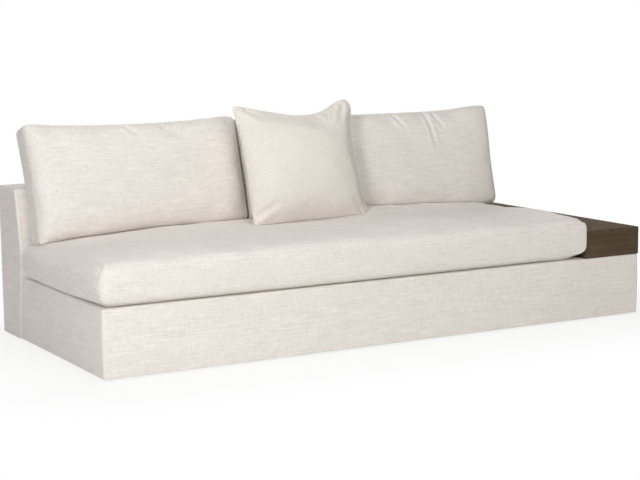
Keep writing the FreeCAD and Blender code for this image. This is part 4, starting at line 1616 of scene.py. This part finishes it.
@dataclass
class Straps:
    """Elastic webbing under the deck and inside the back, flat with soft selvedges."""

    body: str = "frame"
    selvedge: float = 0.3
    step: float = 0.06
    nodes: Sequence[str] = ("seat_webbing_depth", "seat_webbing_length", "back_webbing")

    def build(self, node: str) -> bpy.types.Object:
        """Make the straps of one CAD node.

        Args:
            node: The CAD node, whose solids have their ends square to X.

        Returns:
            The straps, as one piece.
        """
        points: list[np.ndarray] = []
        faces: list[tuple[int, ...]] = []
        start = 0
        for solid in loose_parts(frame["nodes"][node]):
            sides = np.unique(np.round(solid[:, 1:], 5), axis=0)
            about = sides - sides.mean(axis=0)
            sides = sides[np.argsort(np.arctan2(about[:, 1], about[:, 0]))]
            runs = np.linalg.norm(np.roll(sides, -1, axis=0) - sides, axis=1)
            radius = self.selvedge * runs.min()
            outline = rounded_outline([Corner(side[0], side[1], radius) for side in sides], 3)
            low, high = solid[:, 0].min(), solid[:, 0].max()
            strap = PaddedSlab(outline, low, high, radius, self.step, radius / 3).shell()
            points.append(strap.points)
            faces += [tuple(start + corner for corner in face) for face in strap.faces]
            start += len(strap.points)
        return Shell(np.concatenate(points), faces).to_object(f"{node}_straps")

    def dress(self) -> None:
        """Build and finish the straps of every node."""
        for node in self.nodes:
            finish_piece(self.build(node), STRAP, self.body, "webbing", node)


@dataclass
class DustSheet:
    """Black lining stretched under the base and stapled to its rails."""

    body: str = "frame"
    cloth: float = 0.0008
    sag: float = 0.003
    step: float = 0.06
    staple_inset: float = 0.014
    staple_gap: float = 0.075
    staple_half: float = 0.0055
    staple_drop: float = 0.0016
    staple_sides: int = 5
    wire: float = 0.0006
    rails: Sequence[str] = ("base_front_rail", "base_rear_rail", "base_left_rail", "base_right_rail")

    def build(self) -> tuple[bpy.types.Object, bpy.types.Object]:
        """Make the sheet and its staples.

        Returns:
            The sheet and the staples.
        """
        low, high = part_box("dust_cover")
        size = high - low
        columns, rows = (math.ceil(side / self.step) + 1 for side in (size.x, size.y))
        x, y = np.meshgrid(np.linspace(low.x, high.x, columns), np.linspace(low.y, high.y, rows),
                           indexing="ij")
        across = (2 * x - low.x - high.x) / size.x
        deep = (2 * y - low.y - high.y) / size.y
        z = low.z - self.sag * (1 - across ** 8) * (1 - deep ** 6)
        index = np.arange(columns * rows).reshape(columns, rows)
        faces = [(quad[0], *quad[:0:-1]) for quad in grid_faces(index)]
        sheet = Shell(np.stack([x, y, z], axis=-1).reshape(-1, 3), faces).to_object("dust_sheet")
        wall = sheet.modifiers.new("cloth", "SOLIDIFY")
        wall.thickness = self.cloth
        wall.offset = -1.0
        keep_result(sheet, wall)
        inset = Vector((self.staple_inset, self.staple_inset, 0))
        (left, front, level), (right, rear, _) = low + inset, high - inset
        corners = ((left, front), (right, front), (right, rear), (left, rear))
        return sheet, self.staples(np.array([(*corner, level) for corner in corners]))

    def staples(self, rim: np.ndarray) -> bpy.types.Object:
        """Set staples along a loop.

        Args:
            rim: The loop's corners.

        Returns:
            The staples, as one piece.
        """
        tree = GeometryTree("staple_row")
        curve = tree.even_curve(self.staple_gap)
        places = tree.node("GeometryNodeCurveToPoints", {"Curve": curve}, {"mode": "EVALUATED"})
        turn = tree.node("FunctionNodeAlignRotationToVector", {"Vector": places.outputs["Tangent"]},
                         {"axis": "X", "pivot_axis": "Z"})
        half, drop, sides = self.staple_half, self.staple_drop, self.staple_sides
        arch = tree.node("GeometryNodeCurvePrimitiveBezierSegment",
                         {"Resolution": sides, "Start": (-half, 0, 0), "Start Handle": (-half, 0, -drop),
                          "End Handle": (half, 0, -drop), "End": (half, 0, 0)})
        staple = tree.rod(arch.outputs[0], self.wire, sides, True)
        inputs = {"Points": places.outputs["Points"], "Instance": staple, "Rotation": turn.outputs[0]}
        placed = tree.node("GeometryNodeInstanceOnPoints", inputs)
        return tree.grow("dust_sheet_staples", [rim], placed.outputs[0], ZINC.material())

    def dress(self, sheet: bpy.types.Object, staples: bpy.types.Object) -> None:
        """Finish the sheet and its staples."""
        finish_piece(sheet, LINING, self.body, "lining", "dust_cover")
        finish_piece(staples, ZINC, self.body, "screw_steel")


@dataclass
class HardParts:
    """Rigid CAD pieces, which stay as they are and get their finishes."""

    finishes: dict[Finish, Sequence[str]] = field(default_factory=lambda: {
        LEDGE_LENGTHWISE: ("ledge_top", "ledge_inner_side", "ledge_outer_side"),
        LEDGE_CROSSWISE: ("ledge_front", "ledge_rear"),
        FRAME_LENGTHWISE: ("base_front_rail", "base_rear_rail", "deck_rear_rail", "back_top_rail"),
        FRAME_CROSSWISE: ("base_left_rail", "base_right_rail", "ledge_support_rail", "cross_rail_left",
                          "cross_rail_right", "ledge_board", "ledge_lower_cleats", "ledge_upper_cleats"),
        FRAME_UPRIGHT: ("corner_blocks", "back_post_left", "back_post_mid_left", "back_post_mid_right",
                        "back_post_right"),
        GLIDE_PLASTIC: ("glides",),
        ZINC: ("ledge_screws",),
    })

    def dress(self) -> None:
        """Give each piece its finish."""
        for finish, nodes in self.finishes.items():
            for node in nodes:
                paint(frame["nodes"][node], finish)


@dataclass(frozen=True)
class SoftBox:
    """Large soft lamp."""

    name: str
    place: Point
    aim: Point
    size: tuple[float, float]
    power: float
    colour: Colour = (1.0, 0.985, 0.965)

    def build(self) -> None:
        """Hang the lamp."""
        lamp = bpy.data.lights.new(self.name, "AREA")
        lamp.shape = "RECTANGLE"
        lamp.size, lamp.size_y = self.size
        lamp.energy = self.power
        lamp.color = self.colour
        made = add_object(self.name, lamp)
        made.location = self.place
        made.rotation_euler = (Vector(self.aim) - Vector(self.place)).to_track_quat("-Z", "Y").to_euler()


@dataclass
class Studio:
    """Pale floor, white surround, soft lamps and a camera at the photograph's view."""

    camera_place: Point = (-3.571, -6.315, 1.408)
    camera_yaw: float = math.radians(29.29)
    camera_pitch: float = math.radians(8.07)
    camera_roll: float = math.radians(-0.63)
    focal_pixels: float = 1624.69
    floor_size: float = 60.0
    footprint: tuple[float, float] = (1.32, 0.58)
    floor_colour: Colour = (0.88, 0.875, 0.865)
    fade: float = 0.7
    fill_colour: Colour = (0.97, 0.985, 1.0)
    fill_level: float = 0.17
    lamps: Sequence[SoftBox] = (
        SoftBox("key", (-4.2, -3.75, 2.3), (0.0, 0.0, 0.5), (0.9, 0.9), 138.0, (0.965, 0.98, 1.0)),
        SoftBox("front", (0.0, -6.2, 2.6), (0.0, 0.0, 0.4), (4.0, 3.0), 125.0),
        SoftBox("overhead", (-0.9, -0.6, 4.2), (-0.2, 0.0, 0.3), (4.0, 3.0), 57.0),
        SoftBox("rear", (3.0, 5.5, 3.5), (0.0, 0.0, 0.4), (3.0, 2.0), 200.0),
    )

    def build(self) -> None:
        """Set up the studio."""
        for lamp in self.lamps:
            lamp.build()
        self.surround()
        self.floor()
        self.camera()
        bpy.context.scene.view_settings.view_transform = "Standard"

    def surround(self) -> None:
        """White where the camera or a reflection sees it, and a plain fill light elsewhere."""
        world = bpy.data.worlds.new("surround")
        world.use_nodes = True
        bpy.context.scene.world = world
        tree = Nodes(world.node_tree)
        fill = tree.node("ShaderNodeBackground",
                         {"Color": (*self.fill_colour, 1.0), "Strength": self.fill_level})
        white = tree.node("ShaderNodeBackground", {"Color": (1, 1, 1, 1), "Strength": 1.0})
        mix = tree.node("ShaderNodeMixShader", {0: tree.seen(), 1: fill.outputs[0], 2: white.outputs[0]})
        tree.node("ShaderNodeOutputWorld", {"Surface": mix.outputs[0]})

    def floor(self) -> None:
        """Pale floor that keeps a soft shadow and fades to white away from the sofa."""
        half = self.floor_size / 2
        corners = np.array([(-half, -half, 0), (half, -half, 0), (half, half, 0), (-half, half, 0)], float)
        floor = Shell(corners, [(0, 1, 2, 3)]).to_object("floor")
        tree = ShaderTree("floor")
        beside, before = ((abs(tree.along(tree.places(), axis)) - size).at_least(0.0)
                          for axis, size in zip("XY", self.footprint))
        away = (beside * beside + before * before) ** 0.5
        share = tree.seen() * (away.step(0.0, self.fade) * 0.2 + 0.8)
        plain = tree.node("ShaderNodeBsdfDiffuse", {"Color": (*self.floor_colour, 1.0)})
        white = tree.node("ShaderNodeEmission", {"Color": (1, 1, 1, 1), "Strength": 1.0})
        mix = tree.node("ShaderNodeMixShader", {0: share, 1: plain.outputs[0], 2: white.outputs[0]})
        floor.data.materials.append(tree.close(mix.outputs[0]))

    def camera(self) -> None:
        """Camera at the photograph's place, turn and field of view."""
        yaw, pitch, roll = self.camera_yaw, self.camera_pitch, self.camera_roll
        ahead = Vector((math.sin(yaw) * math.cos(pitch), math.cos(yaw) * math.cos(pitch), -math.sin(pitch)))
        right = Vector((math.cos(yaw), -math.sin(yaw), 0))
        above = right.cross(ahead)
        turned_right = right * math.cos(roll) + above * math.sin(roll)
        turned_above = above * math.cos(roll) - right * math.sin(roll)
        data = bpy.data.cameras.new("photo_view")
        data.sensor_width = SENSOR_WIDTH
        data.lens = self.focal_pixels * SENSOR_WIDTH / PHOTO_WIDTH
        data.clip_end = 200
        made = add_object("photo_view", data)
        turn = Matrix((turned_right, turned_above, -ahead)).transposed().to_4x4()
        made.matrix_world = Matrix.Translation(self.camera_place) @ turn
        bpy.context.scene.camera = made


BACK_CUSHIONS = (
    BackCushion("left", (
        Crease((0.420, 0.020), (0.500, 0.090), 0.009, 0.010),
        Crease((0.590, 0.020), (0.625, 0.066), 0.007, 0.009),
    ), top_dip=0.014, dip_at=0.1, flare=-0.020),
    BackCushion("right", (
        Crease((0.826, 0.050), (0.884, 0.140), 0.007, 0.009),
        Crease((1.010, 0.055), (1.024, 0.225), 0.007, 0.010),
        Crease((1.054, 0.058), (1.098, 0.148), 0.006, 0.009),
    ), top_dip=0.010, dip_at=0.5, flare=0.039, foot_flare=0.6, lower=0.015),
)


def main() -> None:
    """Build the sofa's soft pieces, dress every piece and set up the studio."""
    logging.basicConfig(level=logging.INFO, format="%(message)s")
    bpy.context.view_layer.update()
    Studio().build()
    HardParts().dress()
    plinth = Plinth()
    plinth.dress(plinth.build())
    deck = Deck()
    deck.dress(deck.build())
    Straps().dress()
    lining = DustSheet()
    lining.dress(*lining.build())
    back = LowBack()
    back_pieces = back.build()
    back.dress(back_pieces)
    pillow = ThrowPillow()
    seat = SeatCushion(pillow.foot())
    seat_piece, seat_seams = seat.build()
    seat.dress(seat_piece, seat_seams)
    seat_skin, back_skin = skin(seat_piece), skin(*back_pieces)
    leaned_on = []
    for cushion in BACK_CUSHIONS:
        piece, seams = cushion.build(seat_skin, back_skin)
        cushion.dress(piece, seams)
        leaned_on.append(piece)
    pillow_piece, pillow_seams = pillow.build(seat_skin, skin(*leaned_on))
    pillow.dress(pillow_piece, pillow_seams)


if __name__ == "__main__":
    main()
